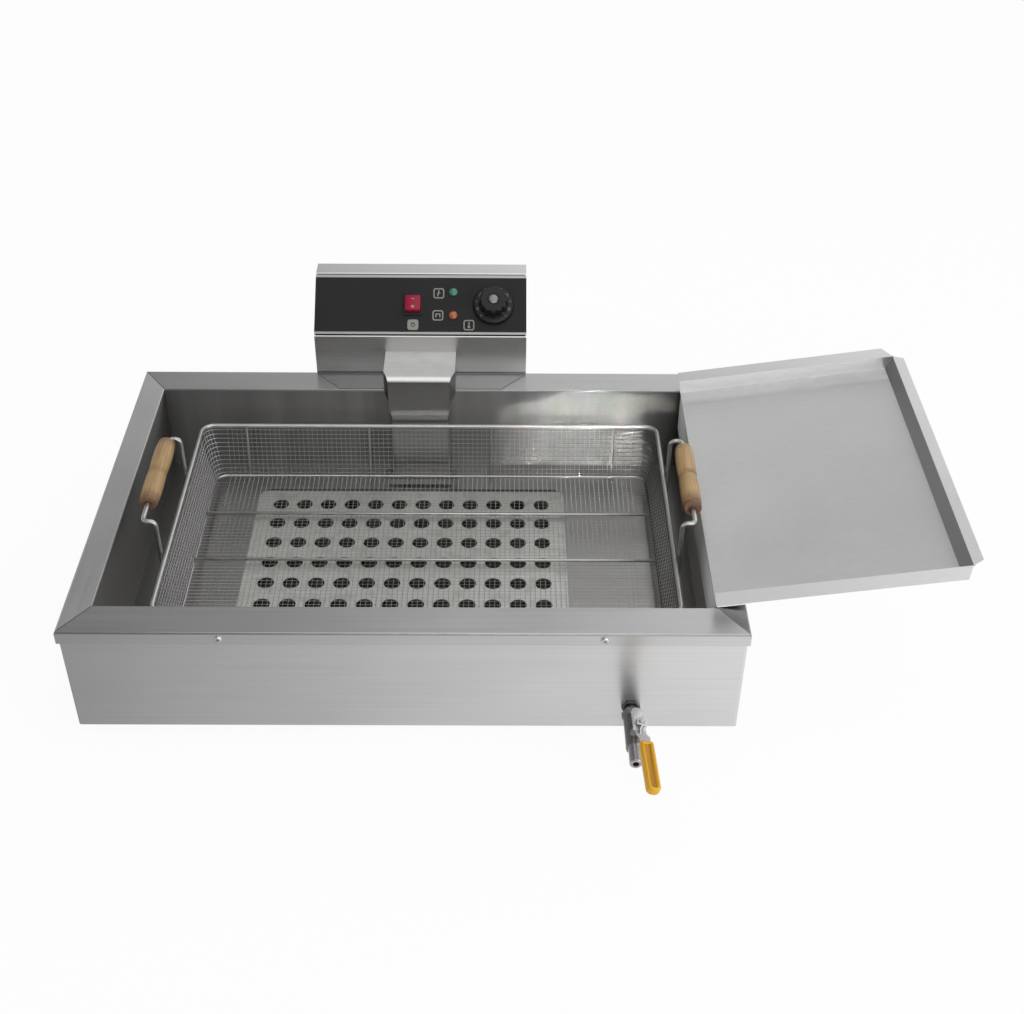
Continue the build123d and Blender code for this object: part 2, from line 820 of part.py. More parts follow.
# Rocker button: two tilted faces over a body whose ends follow its swing
rocker_pivot = on_panel(rocker_u, rocker_v, fascia_top + rocker_lift)
rocker_tilt = radians(rocker_throw / 2)
rocker_side = Plane(
    origin=rocker_pivot.origin,
    x_dir=panel_plane.y_dir * cos(rocker_tilt) - panel_plane.z_dir * sin(rocker_tilt),
    z_dir=panel_plane.x_dir,
)
with BuildPart() as rocker_button:
    with BuildSketch(rocker_side):
        with BuildLine():
            half = rocker_length / 2
            Polyline((-half, rocker_crown), (0, rocker_valley), (half, rocker_crown))
            RadiusArc((half, rocker_crown), (half, -rocker_crown), rocker_swing - slip)
            Line((half, -rocker_crown), (-half, -rocker_crown))
            RadiusArc((-half, -rocker_crown), (-half, rocker_crown), rocker_swing - slip)
        make_face()
    extrude(amount=rocker_width / 2, both=True)
pieces["rocker_button"] = rocker_button


def lamp(up):
    """An indicator lamp: a domed lens and the neck that goes through the panel."""
    with BuildPart() as lamp_piece:
        with BuildSketch(on_panel(lamp_u, up, fascia_top)):
            Circle(lamp_radius)
        extrude(amount=lamp_dome)
        fillet(lamp_piece.edges().group_by(Axis((0, 0, 0), panel_plane.z_dir))[-1], lamp_round)
        with BuildSketch(on_panel(lamp_u, up, fascia_top)):
            Circle(lamp_neck_radius)
        extrude(amount=-lamp_depth)
    return lamp_piece


pieces["green_lamp"] = lamp(lamp_high_v)
pieces["orange_lamp"] = lamp(lamp_low_v)

# Thermostat behind the panel, with a bush through it
with BuildPart() as thermostat_body:
    with BuildSketch(on_panel(knob_u, knob_v)):
        RectangleRounded(thermostat_width, thermostat_width, thermostat_corner)
    extrude(amount=-thermostat_depth)
    with BuildSketch(on_panel(knob_u, knob_v)):
        Circle(spindle_bush_radius)
    extrude(amount=fascia_top)
    with BuildSketch(on_panel(knob_u, knob_v, fascia_top)):
        Circle(spindle_radius + run_gap)
    extrude(amount=-thermostat_depth / 2 - fascia_top, mode=Mode.SUBTRACT)
pieces["thermostat_body"] = thermostat_body

spindle_end = fascia_top + knob_lift + spindle_reach

# Thermostat spindle
with BuildPart() as thermostat_spindle:
    with BuildSketch(on_panel(knob_u, knob_v, slip - thermostat_depth / 2)):
        Circle(spindle_radius)
    extrude(amount=thermostat_depth / 2 - slip + spindle_end)
pieces["thermostat_spindle"] = thermostat_spindle

# Thermostat knob: a skirt and a tapered grip with a pointer groove
with BuildPart() as thermostat_knob:
    with BuildSketch(on_panel(knob_u, knob_v, fascia_top + knob_lift)):
        Circle(knob_radius)
    extrude(amount=knob_skirt, taper=knob_skirt_taper)
    with BuildSketch(on_panel(knob_u, knob_v, fascia_top + knob_lift + knob_skirt)):
        Circle(knob_grip_radius)
    extrude(amount=knob_height - knob_skirt, taper=knob_taper)
    fillet(thermostat_knob.edges().group_by(Axis((0, 0, 0), panel_plane.z_dir))[-1], knob_round)
    with BuildSketch(on_panel(knob_u, knob_v, fascia_top + knob_lift)):
        Circle(spindle_radius)
    extrude(amount=spindle_reach, mode=Mode.SUBTRACT)
pieces["thermostat_knob"] = thermostat_knob

# Bright cap on the knob
with BuildPart() as knob_cap:
    with BuildSketch(on_panel(knob_u, knob_v, fascia_top + knob_lift + knob_height)):
        Circle(cap_radius)
    extrude(amount=cap_height)
    fillet(knob_cap.edges().group_by(Axis((0, 0, 0), panel_plane.z_dir))[-1], cap_height / 2)
pieces["knob_cap"] = knob_cap

inner_floor = head_floor + sheet
inner_front = rim_back + head_stand_off + sheet

# Contactor: a stepped block on the floor of the head
with BuildPart() as contactor:
    with BuildSketch(Plane.XY.offset(inner_floor)):
        with Locations((head_x + contactor_u, inner_front + contactor_depth / 2 + contactor_gap)):
            Rectangle(contactor_width, contactor_depth)
    extrude(amount=contactor_base)
    with BuildSketch(Plane.XY.offset(inner_floor + contactor_base)):
        with Locations((head_x + contactor_u, inner_front + contactor_depth / 2 + contactor_gap)):
            Rectangle(contactor_width, contactor_nose_depth)
    extrude(amount=contactor_height - contactor_base)
pieces["contactor"] = contactor

# High limit thermostat
with BuildPart() as high_limit_thermostat:
    with BuildSketch(Plane.XY.offset(inner_floor)):
        with Locations((head_x + limit_u, head_back - sheet - limit_depth / 2 - limit_gap)):
            Rectangle(limit_width, limit_depth)
    extrude(amount=limit_height)
    fillet(high_limit_thermostat.edges().filter_by(Axis.Z), limit_corner)
pieces["high_limit_thermostat"] = high_limit_thermostat

# Terminal block with a well for each pole
with BuildPart() as terminal_block:
    with BuildSketch(Plane.XY.offset(inner_floor)):
        with Locations((head_x + block_u, inner_front + block_depth / 2 + block_gap)):
            Rectangle(block_length, block_depth)
    extrude(amount=block_height)
    with BuildSketch(Plane.XY.offset(inner_floor + block_height)):
        with Locations((head_x + block_u, inner_front + block_depth / 2 + block_gap)):
            with GridLocations(block_length / block_poles, 0, block_poles, 1):
                Circle(block_well_radius)
    extrude(amount=-block_well, mode=Mode.SUBTRACT)
pieces["terminal_block"] = terminal_block

bridge_top = rim_top + bridge_rise
bridge_base = rim_top + sheet
skirt_end = rim_top - bridge_skirt
skirt_back = tank_back - slip


def bridge_block(inset):
    """The riser's volume: a channel over the rim that tapers to a nose and drops into the tank."""
    wide = bridge_width / 2 - inset
    nose = bridge_nose / 2 - inset
    front = bridge_front + inset
    with BuildPart() as block:
        with BuildSketch(Plane.XY.offset(bridge_base)):
            with BuildLine():
                Polyline(
                    (head_x - wide, head_front),
                    (head_x - wide, bridge_front + bridge_taper),
                    (head_x - nose, front),
                    (head_x + nose, front),
                    (head_x + wide, bridge_front + bridge_taper),
                    (head_x + wide, head_front),
                    close=True,
                )
            make_face()
        extrude(amount=bridge_top - inset - bridge_base)
        with BuildSketch(Plane.XY.offset(skirt_end)):
            with Locations((head_x, (front + skirt_back) / 2)):
                Rectangle(2 * nose, skirt_back - front)
        extrude(amount=bridge_base - skirt_end)
        fillet(block.faces().sort_by(Axis.Z)[-1].edges().sort_by(Axis.Y)[0], bridge_bend - inset)
    return block


# Riser bridge: the sheet cover that carries the heater's legs over the rim
bridge_outside = bridge_block(0)
bridge_inside = bridge_block(sheet)
with BuildPart() as riser_bridge:
    add(bridge_outside.part)
    add(bridge_inside.part, mode=Mode.SUBTRACT)
pieces["riser_bridge"] = riser_bridge

plate_top = tank_floor + plate_rise
shroud_front = bridge_front - shroud_step
shroud_end = plate_top

# Element shroud: the duct round the heater's legs, below the riser
with BuildPart() as element_shroud:
    with BuildSketch(Plane.XY.offset(skirt_end)):
        with Locations((element_x, (shroud_front + tank_back) / 2)):
            Rectangle(shroud_width, tank_back - shroud_front)
    extrude(amount=shroud_end - skirt_end)
    fillet(element_shroud.faces().sort_by(Axis.Y)[0].edges().filter_by(Axis.Z), shroud_corner)
    with BuildSketch(Plane.XY.offset(skirt_end - sheet)):
        with Locations((element_x, (shroud_front + sheet + tank_back) / 2)):
            Rectangle(shroud_width - 2 * sheet, tank_back - shroud_front - sheet)
    extrude(amount=shroud_end - skirt_end, mode=Mode.SUBTRACT)
    with BuildSketch(Plane.XY.offset(skirt_end)):
        with Locations((element_x, (bridge_front + sheet + tank_back) / 2)):
            Rectangle(shroud_slot, tank_back - bridge_front - sheet)
    extrude(amount=-sheet, mode=Mode.SUBTRACT)
pieces["element_shroud"] = element_shroud

element_level = tank_floor + element_rest + element_radius
element_start = head_front + element_tail


def heater_route():
    """Points of the heater: down the riser, to and fro under the cover, across and back up."""
    half = [
        (element_half_gap, element_start, element_leg_height),
        (element_half_gap, element_leg_y, element_leg_height),
        (element_half_gap, element_leg_y, element_level),
    ]
    ends = (element_front + element_link_gap, element_back)
    across = element_half_gap
    for loop in range(element_loops):
        half.append((across, ends[loop % 2], element_level))
        across += element_pitch
        half.append((across, ends[loop % 2], element_level))
    half.append((across, element_front, element_level))
    left = [(element_x - x, y, z) for x, y, z in half]
    right = [(element_x + x, y, z) for x, y, z in reversed(half)]
    return left + right


# Heating element: one bent tube, both ends up in the head
with BuildPart() as heating_element:
    with BuildLine() as heater_line:
        FilletPolyline(*heater_route(), radius=element_bend)
    with BuildSketch(Plane(origin=heater_line.line @ 0, z_dir=heater_line.line % 0)):
        Circle(element_radius)
    sweep(path=heater_line.line)
pieces["heating_element"] = heating_element

leg_places = [(-element_half_gap, 0), (element_half_gap, 0)]

# Clamp plate inside the head, which holds the two legs
with BuildPart() as element_clamp:
    with BuildSketch(facing_front(element_x, head_front + sheet + clamp_sheet, element_leg_height)):
        Rectangle(clamp_width, clamp_height)
        with Locations(*leg_places):
            Circle(element_radius, mode=Mode.SUBTRACT)
        Circle(capillary_radius + slip, mode=Mode.SUBTRACT)
    extrude(amount=clamp_sheet)
pieces["element_clamp"] = element_clamp

# Ceramic ends and pins of the heater
with BuildPart() as element_terminals:
    with BuildSketch(facing_back(element_x, element_start, element_leg_height)):
        with Locations(*leg_places):
            Circle(terminal_radius)
    extrude(amount=terminal_length)
    with BuildSketch(facing_back(element_x, element_start + terminal_length, element_leg_height)):
        with Locations(*leg_places):
            Circle(terminal_pin_radius)
    extrude(amount=terminal_pin)
pieces["element_terminals"] = element_terminals

# Two strips on the tank floor that carry the heater
with BuildPart() as element_rests:
    with BuildSketch(Plane.XY.offset(tank_floor)):
        with Locations((element_x, plate_y)):
            with GridLocations(0, plate_depth - 2 * rest_margin, 1, 2):
                Rectangle(2 * (element_half_gap + element_loops * element_pitch + rest_width), rest_width)
    extrude(amount=element_rest)
pieces["element_rests"] = element_rests

bulb_level = element_level + element_radius - bulb_radius
bulb_back = tank_back - bulb_gap
clip_y = tank_back - clip_gap
capillary_turn = on_panel(knob_u, knob_v - capillary_side, -thermostat_depth - capillary_loop)
capillary_end = on_panel(knob_u, knob_v - capillary_side, -thermostat_depth)

# Thermostat bulb between the heater's legs, and its capillary up to the thermostat
with BuildPart() as thermostat_bulb:
    with BuildSketch(facing_front(element_x, bulb_back, bulb_level)):
        Circle(bulb_radius)
    extrude(amount=bulb_length)
    with BuildLine() as capillary_line:
        FilletPolyline(
            (element_x, bulb_back, bulb_level),
            (element_x, element_leg_y, bulb_level),
            (element_x, element_leg_y, element_leg_height),
            (element_x, head_front + capillary_reach, element_leg_height),
            (element_x, head_front + capillary_reach, element_leg_height + capillary_rise),
            tuple(capillary_turn.origin),
            tuple(capillary_end.origin),
            radius=capillary_bend,
        )
    with BuildSketch(facing_back(element_x, bulb_back, bulb_level)):
        Circle(capillary_radius)
    sweep(path=capillary_line.line)
pieces["thermostat_bulb"] = thermostat_bulb

# Clip over the heater's legs, which keeps the bulb against them
with BuildPart() as bulb_clip:
    with BuildSketch(Plane.XY.offset(element_level + element_radius)):
        with Locations((element_x, clip_y)):
            Rectangle(2 * (element_half_gap + element_radius), clip_width)
    extrude(amount=clip_sheet)
pieces["bulb_clip"] = bulb_clip

# Perforated cover over the heater, standing on two folded legs, with a tongue back to the shroud
plate_back = plate_y + plate_depth / 2
tongue_end = shroud_front - slip
hole_pitch_x = (plate_length - 2 * hole_margin_x) / (hole_columns - 1)
hole_pitch_y = (plate_depth - 2 * hole_margin_y) / (hole_rows - 1)
with BuildPart() as element_cover:
    with BuildSketch(Plane.XY.offset(plate_top)):
        with Locations((plate_x, plate_y)):
            RectangleRounded(plate_length, plate_depth, plate_corner)
            with GridLocations(hole_pitch_x, hole_pitch_y, hole_columns, hole_rows):
                Circle(hole_radius, mode=Mode.SUBTRACT)
        with Locations((element_x, plate_back)):
            Rectangle(tongue_width, tongue_end - plate_back, align=(Align.CENTER, Align.MIN))
        with Locations((element_x, plate_back + tongue_slot_gap + tongue_slot / 2)):
            SlotOverall(tongue_slot_length, tongue_slot, mode=Mode.SUBTRACT)
    extrude(amount=-sheet)
    with BuildSketch(Plane.XY.offset(plate_top - sheet)):
        with Locations((plate_x, plate_y)):
            with GridLocations(plate_length - sheet, 0, 2, 1):
                Rectangle(sheet, plate_depth - 2 * plate_leg_margin)
    extrude(amount=tank_floor - plate_top + sheet)
pieces["element_cover"] = element_cover

# Basket: levels of its wires; it stands on the perforated cover
rib_bend = (rib_wire + frame_wire) / 2 + run_gap
floor_level = plate_top + basket_clearance + frame_wire / 2
rib_level = floor_level - rib_bend
basket_rim = floor_level + basket_height
floor_length = basket_length - 2 * basket_taper
floor_depth = basket_depth - 2 * basket_taper


def wire_ring(length, depth, corner, level, diameter):
    """A closed ring of wire; length and depth are over the outside."""
    half_x = (length - diameter) / 2
    half_y = (depth - diameter) / 2
    with BuildPart() as ring:
        with BuildLine() as ring_line:
            FilletPolyline(
                (basket_x, basket_y - half_y, level),
                (basket_x + half_x, basket_y - half_y, level),
                (basket_x + half_x, basket_y + half_y, level),
                (basket_x - half_x, basket_y + half_y, level),
                (basket_x - half_x, basket_y - half_y, level),
                (basket_x - half_x / 2, basket_y - half_y, level),
                radius=corner,
            )
            Line((basket_x - half_x / 2, basket_y - half_y, level), (basket_x, basket_y - half_y, level))
        with BuildSketch(Plane(origin=(basket_x, basket_y - half_y, level), z_dir=(1, 0, 0))):
            Circle(diameter / 2)
        sweep(path=ring_line.line)
    return ring


pieces["basket_rim_wire"] = wire_ring(basket_length, basket_depth, basket_corner, basket_rim, rim_wire)
pieces["basket_bottom_wire"] = wire_ring(floor_length, floor_depth, basket_corner, floor_level, frame_wire)


def net(plane, low_length, high_length, height, corner, columns, rows):
    """A flat net on a plane: one sheet with a grid of gaps, wider at its top where the wall flares."""
    pitch_x = (low_length - net_bar) / columns
    pitch_y = (height - net_bar) / rows
    with BuildSketch(plane) as gaps:
        with Locations((0, height / 2)):
            with GridLocations(pitch_x, pitch_y, columns, rows):
                Rectangle(pitch_x - net_bar, pitch_y - net_bar)
            if corner:
                RectangleRounded(
                    low_length - 2 * net_bar, height - 2 * net_bar, corner - net_bar, mode=Mode.INTERSECT
                )
    with BuildPart() as net_piece:
        with BuildSketch(plane) as outline:
            with BuildLine():
                Polyline(
                    (-low_length / 2, 0),
                    (low_length / 2, 0),
                    (high_length / 2, height),
                    (-high_length / 2, height),
                    close=True,
                )
            make_face()
            if corner:
                fillet(outline.vertices(), corner)
            add(gaps.sketch_local, mode=Mode.SUBTRACT)
        extrude(amount=net_sheet / 2, both=True)
    return net_piece


wire_play = slip / 2
net_floor_length = floor_length - 2 * (frame_wire + wire_play)
net_floor_depth = floor_depth - 2 * (frame_wire + wire_play)
pieces["basket_floor_net"] = net(
    Plane.XY.move(Location((basket_x, basket_y - net_floor_depth / 2, floor_level))),
    net_floor_length,
    net_floor_length,
    net_floor_depth,
    basket_corner - frame_wire / 2 - wire_play,
    net_floor_columns,
    net_floor_rows,
)

# The four wall nets stand between the bottom wire and the rim wire
wall_low = floor_level + frame_wire / 2 + wire_play
wall_high = basket_rim - rim_wire / 2 - wire_play
wall_slope = basket_taper / basket_height
wall_height = (wall_high - wall_low) * (1 + wall_slope ** 2) ** 0.5
wall_inset = basket_corner
for name, side, low, columns in (
    ("basket_front_net", (0, -1), floor_length, net_columns_long),
    ("basket_rear_net", (0, 1), floor_length, net_columns_long),
    ("basket_left_net", (-1, 0), floor_depth, net_columns_short),
    ("basket_right_net", (1, 0), floor_depth, net_columns_short),
):
    out_x, out_y = side
    half = (floor_length if out_x else floor_depth) / 2 - frame_wire / 2
    start = (basket_x + out_x * half, basket_y + out_y * half, wall_low)
    wall_plane = Plane(
        origin=start,
        x_dir=(-out_y, out_x, 0),
        z_dir=(out_x, out_y, -wall_slope),
    )
    low_length = low - 2 * wall_inset
    high_length = low_length + 2 * basket_taper
    pieces[name] = net(wall_plane, low_length, high_length, wall_height, 0, columns, net_rows)

# Long bars across the floor of the basket
bar_level = floor_level + frame_wire + run_gap
bar_length = floor_length - frame_wire - net_sheet - slip
with BuildPart() as basket_floor_bars:
    with BuildSketch(Plane.YZ.offset(basket_x - bar_length / 2)):
        with Locations((basket_y + bar_shift, bar_level)):
            with GridLocations(bar_spacing, 0, bar_count, 1):
                Circle(frame_wire / 2)
    extrude(amount=bar_length)
pieces["basket_floor_bars"] = basket_floor_bars

# Ribs: wires down the outside of the front and rear walls, hooked in under the bottom wire
rib_low = floor_depth / 2 - frame_wire / 2 + rib_bend
rib_high = (
    floor_depth / 2 - frame_wire / 2 + wall_slope * (wall_high - wall_low)
    + (net_sheet + rib_wire) / 2 + wire_play
)
with BuildPart() as basket_ribs:
    for side in (-1, 1):
        for rib in range(rib_count):
            rib_x = basket_x + (rib - (rib_count - 1) / 2) * rib_spacing
            with BuildLine() as rib_line:
                FilletPolyline(
                    (rib_x, basket_y + side * rib_high, wall_high),
                    (rib_x, basket_y + side * rib_low, rib_level),
                    (rib_x, basket_y + side * (rib_low - rib_hook), rib_level),
                    radius=rib_bend,
                )
            with BuildSketch(Plane(origin=rib_line.line @ 0, z_dir=rib_line.line % 0)):
                Circle(rib_wire / 2)
            sweep(path=rib_line.line)
pieces["basket_ribs"] = basket_ribs

grip_level = basket_rim + handle_height
leg_out = basket_length / 2 + handle_wire / 2 + wire_play
hook_face = opening_length / 2 - board_wall_gap
grip_out = hook_face - sheet - grip_clear - grip_radius - basket_x


def handle(side):
    """A bail outside one end of the basket: two legs, turned out and along through the grip."""
    leg_x = basket_x + side * leg_out
    grip_x = basket_x + side * grip_out
    half_span = handle_span / 2
    foot = basket_rim - handle_foot
    with BuildPart() as bail:
        with BuildLine() as bail_line:
            FilletPolyline(
                (leg_x, basket_y - half_span, foot),
                (leg_x, basket_y - half_span, grip_level),
                (grip_x, basket_y - half_span, grip_level),
                (grip_x, basket_y + half_span, grip_level),
                (leg_x, basket_y + half_span, grip_level),
                (leg_x, basket_y + half_span, foot),
                radius=handle_bend,
            )
        with BuildSketch(Plane.XY.offset(foot)):
            with Locations((leg_x, basket_y - half_span)):
                Circle(handle_wire / 2)
        sweep(path=bail_line.line)
    return bail


def grip(side, slide):
    """A turned wooden grip, free to spin on the handle wire, slid along it from the middle."""
    grip_x = basket_x + side * grip_out
    grip_y = basket_y + slide
    half = grip_length / 2
    profile = Plane(origin=(grip_x, grip_y, grip_level), x_dir=(0, 1, 0), z_dir=(1, 0, 0))
    with BuildPart() as turned:
        with BuildSketch(profile):
            with BuildLine():
                Line((-half, 0), (-half, grip_end_radius))
                ThreePointArc((-half, grip_end_radius), (-half / 2, grip_radius), (0, grip_neck_radius))
                ThreePointArc((0, grip_neck_radius), (half / 2, grip_radius), (half, grip_end_radius))
                Line((half, grip_end_radius), (half, 0))
                Line((half, 0), (-half, 0))
            make_face()
        revolve(axis=Axis((grip_x, grip_y, grip_level), (0, 1, 0)))
        with BuildSketch(facing_front(grip_x, grip_y + half, grip_level)):
            Circle(handle_wire / 2 + grip_play)
        extrude(amount=grip_length, mode=Mode.SUBTRACT)
    return turned


for side, name, slide in ((-1, "left", left_grip_slide), (1, "right", right_grip_slide)):
    pieces[f"{name}_handle_wire"] = handle(side)
    pieces[f"{name}_grip"] = grip(side, slide)

# Drain board: a folded pan that slopes back into the tank, with a hook inside the tank wall
board_plane = Plane(
    origin=(hook_face - sheet, board_y, rim_top + board_lift),
    x_dir=(cos(radians(board_slope)), 0, sin(radians(board_slope))),
    z_dir=(-sin(radians(board_slope)), 0, cos(radians(board_slope))),
)
board_side = Plane(
    origin=board_plane.origin,
    x_dir=board_plane.x_dir,
    z_dir=(0, -1, 0),
)
half_board = board_depth / 2
board_mouth = board_length + board_flare
flare_sheet = sheet * (1 + (board_flare / board_wall) ** 2) ** 0.5
flare_foot = board_flare * sheet / board_wall
with BuildPart() as drain_board:
    with BuildSketch(board_side):
        with BuildLine():
            Polyline(
                (0, 0),
                (board_length + flare_sheet, 0),
                (board_mouth + flare_sheet, board_wall),
                (0, board_wall),
                close=True,
            )
        make_face()
    extrude(amount=half_board + sheet, both=True)
    with BuildSketch(board_side):
        with BuildLine():
            Polyline(
                (0, sheet),
                (board_length + flare_foot, sheet),
                (board_mouth, board_wall),
                (0, board_wall),
                close=True,
            )
        make_face()
    extrude(amount=half_board, both=True, mode=Mode.SUBTRACT)
    with BuildSketch(board_plane.offset(board_wall - sheet)):
        with BuildLine():
            Polyline(
                (0, -half_board - board_side_lip),
                (board_length, -half_board - board_side_lip),
                (board_mouth, -half_board),
                (board_mouth + board_end_lip, board_lip_cut - half_board),
                (board_mouth + board_end_lip, half_board - board_lip_cut),
                (board_mouth, half_board),
                (board_length, half_board + board_side_lip),
                (0, half_board + board_side_lip),
                close=True,
            )
        make_face()
        with Locations((board_mouth / 2, 0)):
            Rectangle(board_mouth, board_depth, mode=Mode.SUBTRACT)
    extrude(amount=sheet)
    with BuildSketch(Plane.XY.offset(rim_top + board_lift + sheet / 2)):
        with Locations((hook_face - sheet / 2, board_y)):
            Rectangle(sheet, board_depth - 2 * board_hook_inset)
    extrude(amount=-board_hook)
pieces["drain_board"] = drain_board

# Bracket under the drain board: bears on the outside of the casing
bracket_x = rim_length / 2 + board_wall_gap
bracket_u = (bracket_x - board_plane.origin.X) / cos(radians(board_slope))
with BuildPart() as board_bracket:
    with BuildSketch(board_plane.offset(-sheet)):
        with Locations((bracket_u + bracket_top / 2, 0)):
            Rectangle(bracket_top, bracket_length)
    extrude(amount=sheet)
    with BuildSketch(Plane.XZ.offset(-board_y)):
        with BuildLine():
            leg_top = rim_top + board_lift + (bracket_x - board_plane.origin.X) * sin(radians(board_slope))
            Polyline(
                (bracket_x, leg_top - sheet / 2),
                (bracket_x + sheet, leg_top - sheet / 2),
                (bracket_x + sheet, leg_top - bracket_leg),
                (bracket_x, leg_top - bracket_leg),
                close=True,
            )
        make_face()
    extrude(amount=bracket_length / 2, both=True)
pieces["board_bracket"] = board_bracket

for label, piece in pieces.items():
    piece.part.label = label
    export_step(piece.part, f"parts/{label}.step")
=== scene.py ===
import json
from math import atan2, cos, degrees, hypot, radians, sin

import bpy
from mathutils import Matrix, Vector


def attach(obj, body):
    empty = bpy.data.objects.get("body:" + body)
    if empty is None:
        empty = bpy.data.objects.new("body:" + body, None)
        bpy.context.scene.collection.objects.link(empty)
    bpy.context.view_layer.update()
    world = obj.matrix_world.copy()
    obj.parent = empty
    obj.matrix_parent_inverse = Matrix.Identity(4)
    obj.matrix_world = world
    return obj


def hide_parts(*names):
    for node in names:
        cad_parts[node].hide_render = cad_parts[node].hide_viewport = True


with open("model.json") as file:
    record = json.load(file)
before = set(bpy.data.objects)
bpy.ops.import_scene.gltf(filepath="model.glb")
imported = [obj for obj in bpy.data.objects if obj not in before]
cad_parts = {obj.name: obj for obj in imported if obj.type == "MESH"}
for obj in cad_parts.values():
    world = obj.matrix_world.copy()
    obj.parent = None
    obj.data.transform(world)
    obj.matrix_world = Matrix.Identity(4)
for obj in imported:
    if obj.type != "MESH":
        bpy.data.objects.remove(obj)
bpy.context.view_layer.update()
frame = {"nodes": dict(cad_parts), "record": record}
nodes = frame["nodes"]

# Sizes below are in millimetres, as on the drawing, and MM turns them to metres.
MM = 0.001

# The rim with the tank's opening in it, the cover over the heater, and the wire basket
RIM_HALF_X = 301.5
RIM_HALF_Y = 208.0
OPENING_HALF_X = 276.0
OPENING_HALF_Y = 173.0
COVER = Vector((-11.0, -12.0, 0.0))
COVER_HALF_X = 161.0
COVER_HALF_Y = 122.0
COVER_REAR = 108.0
BASKET = Vector((8.0, -8.0, 0.0))
BASKET_FLOOR = 44.0
BASKET_RIM = 103.0

# The drain board's pan climbs to the right by this much of its length
PAN_CLIMB = 0.1495

# The sloping panel: the middle of its lower edge, and its directions; and the head's flange below it
PANEL = Vector((-3.0, 204.0, 174.0))
PANEL_TILT = radians(50.0)
PANEL_UP = Vector((0.0, sin(PANEL_TILT), cos(PANEL_TILT)))
PANEL_OUT = Vector((0.0, -cos(PANEL_TILT), sin(PANEL_TILT)))
FASCIA_TOP = 2.0
PRINT = 0.05
FLANGE_BEND = 129.5

# The drain valve's stem leans, and its lever lies nearly along the pipe
BALL = Vector((201.6, -245.8, 38.0))
STEM_LEAN = radians(14.0)
STEM_UP = Vector((sin(STEM_LEAN), 0.0, cos(STEM_LEAN)))
PIPE_WAY = Vector((0, -1, 0))
LEVER_TURN = radians(3.0)
LEVER_WAY = PIPE_WAY * cos(LEVER_TURN) + STEM_UP.cross(PIPE_WAY) * sin(LEVER_TURN)


# Helpers for modelling. Angles given to them are in degrees.

NEW_EDGE = 32
DRAWN_EDGE = 40


def clear():
    """Leave edit mode with nothing selected."""
    if bpy.context.mode != "OBJECT":
        bpy.ops.object.mode_set(mode="OBJECT")
    bpy.ops.object.select_all(action="DESELECT")


def take(piece):
    """Select one piece alone and make it active."""
    clear()
    piece.select_set(True)
    bpy.context.view_layer.objects.active = piece


def edit_all():
    """Enter edit mode with all of the active piece selected."""
    bpy.ops.object.mode_set(mode="EDIT")
    bpy.ops.mesh.select_all(action="SELECT")


def axes(origin, x_dir, z_dir):
    """A place in millimetres with its own X and Z directions, as a matrix in metres."""
    z = Vector(z_dir).normalized()
    x = Vector(x_dir).normalized()
    turn = Matrix((x, z.cross(x), z)).transposed().to_4x4()
    return Matrix.Translation(Vector(origin) * MM) @ turn


def on_panel(across, up, out=FASCIA_TOP):
    """A place on the sloping panel, across from its middle and up from its lower edge."""
    return axes(PANEL + Vector((across, 0, 0)) + PANEL_UP * up + PANEL_OUT * out, (1, 0, 0), PANEL_OUT)


def shade(piece, smooth, soften, limit):
    """Soften the active piece's edges that are sharper than a limit, and shade its curves."""
    if soften:
        edge = piece.modifiers.new("edge", "BEVEL")
        edge.width = soften * MM
        edge.segments = 2
        edge.limit_method = "ANGLE"
        edge.angle_limit = radians(limit)
        bpy.ops.object.modifier_apply(modifier=edge.name)
    bpy.ops.object.shade_smooth_by_angle(angle=radians(smooth))
    clear()
    return piece


def settle(piece, name, place, smooth=35, soften=0.0):
    """Name a piece, put its place into its mesh, soften its sharp edges and shade its curves."""
    piece.name = name
    piece.data.name = name
    take(piece)
    piece.matrix_world = place @ piece.matrix_world
    bpy.ops.object.transform_apply(location=True, rotation=True, scale=True)
    edit_all()
    bpy.ops.mesh.remove_doubles(threshold=1e-6)
    bpy.ops.mesh.normals_make_consistent(inside=False)
    bpy.ops.object.mode_set(mode="OBJECT")
    return shade(piece, smooth, soften, NEW_EDGE)


def turned(name, stations, place, sides=48, smooth=35):
    """A turned piece: a disc drawn out along its axis, to each (height, radius) in turn."""
    clear()
    low, wide = stations[0]
    bpy.ops.mesh.primitive_circle_add(vertices=sides, radius=wide * MM, fill_type="NGON", location=(0, 0, low * MM))
    piece = bpy.context.object
    bpy.ops.object.transform_apply(location=True)
    edit_all()
    for (start, narrow), (height, radius) in zip(stations, stations[1:]):
        bpy.ops.mesh.extrude_region_move(TRANSFORM_OT_translate={"value": (0, 0, (height - start) * MM)})
        grow = radius / narrow
        bpy.ops.transform.resize(value=(grow, grow, 1), center_override=(0, 0, height * MM))
    bpy.ops.object.mode_set(mode="OBJECT")
    return settle(piece, name, place, smooth)


def rectangle(wide, high, corner=0.0, steps=5):
    """A flat rectangle with round corners, left in edit mode with all of it selected."""
    clear()
    bpy.ops.mesh.primitive_plane_add(size=1)
    piece = bpy.context.object
    piece.scale = (wide * MM, high * MM, 1)
    bpy.ops.object.transform_apply(scale=True)
    edit_all()
    if corner:
        bpy.ops.mesh.bevel(offset=corner * MM, offset_type="OFFSET", segments=steps, affect="VERTICES")
        bpy.ops.mesh.select_all(action="SELECT")
    return piece


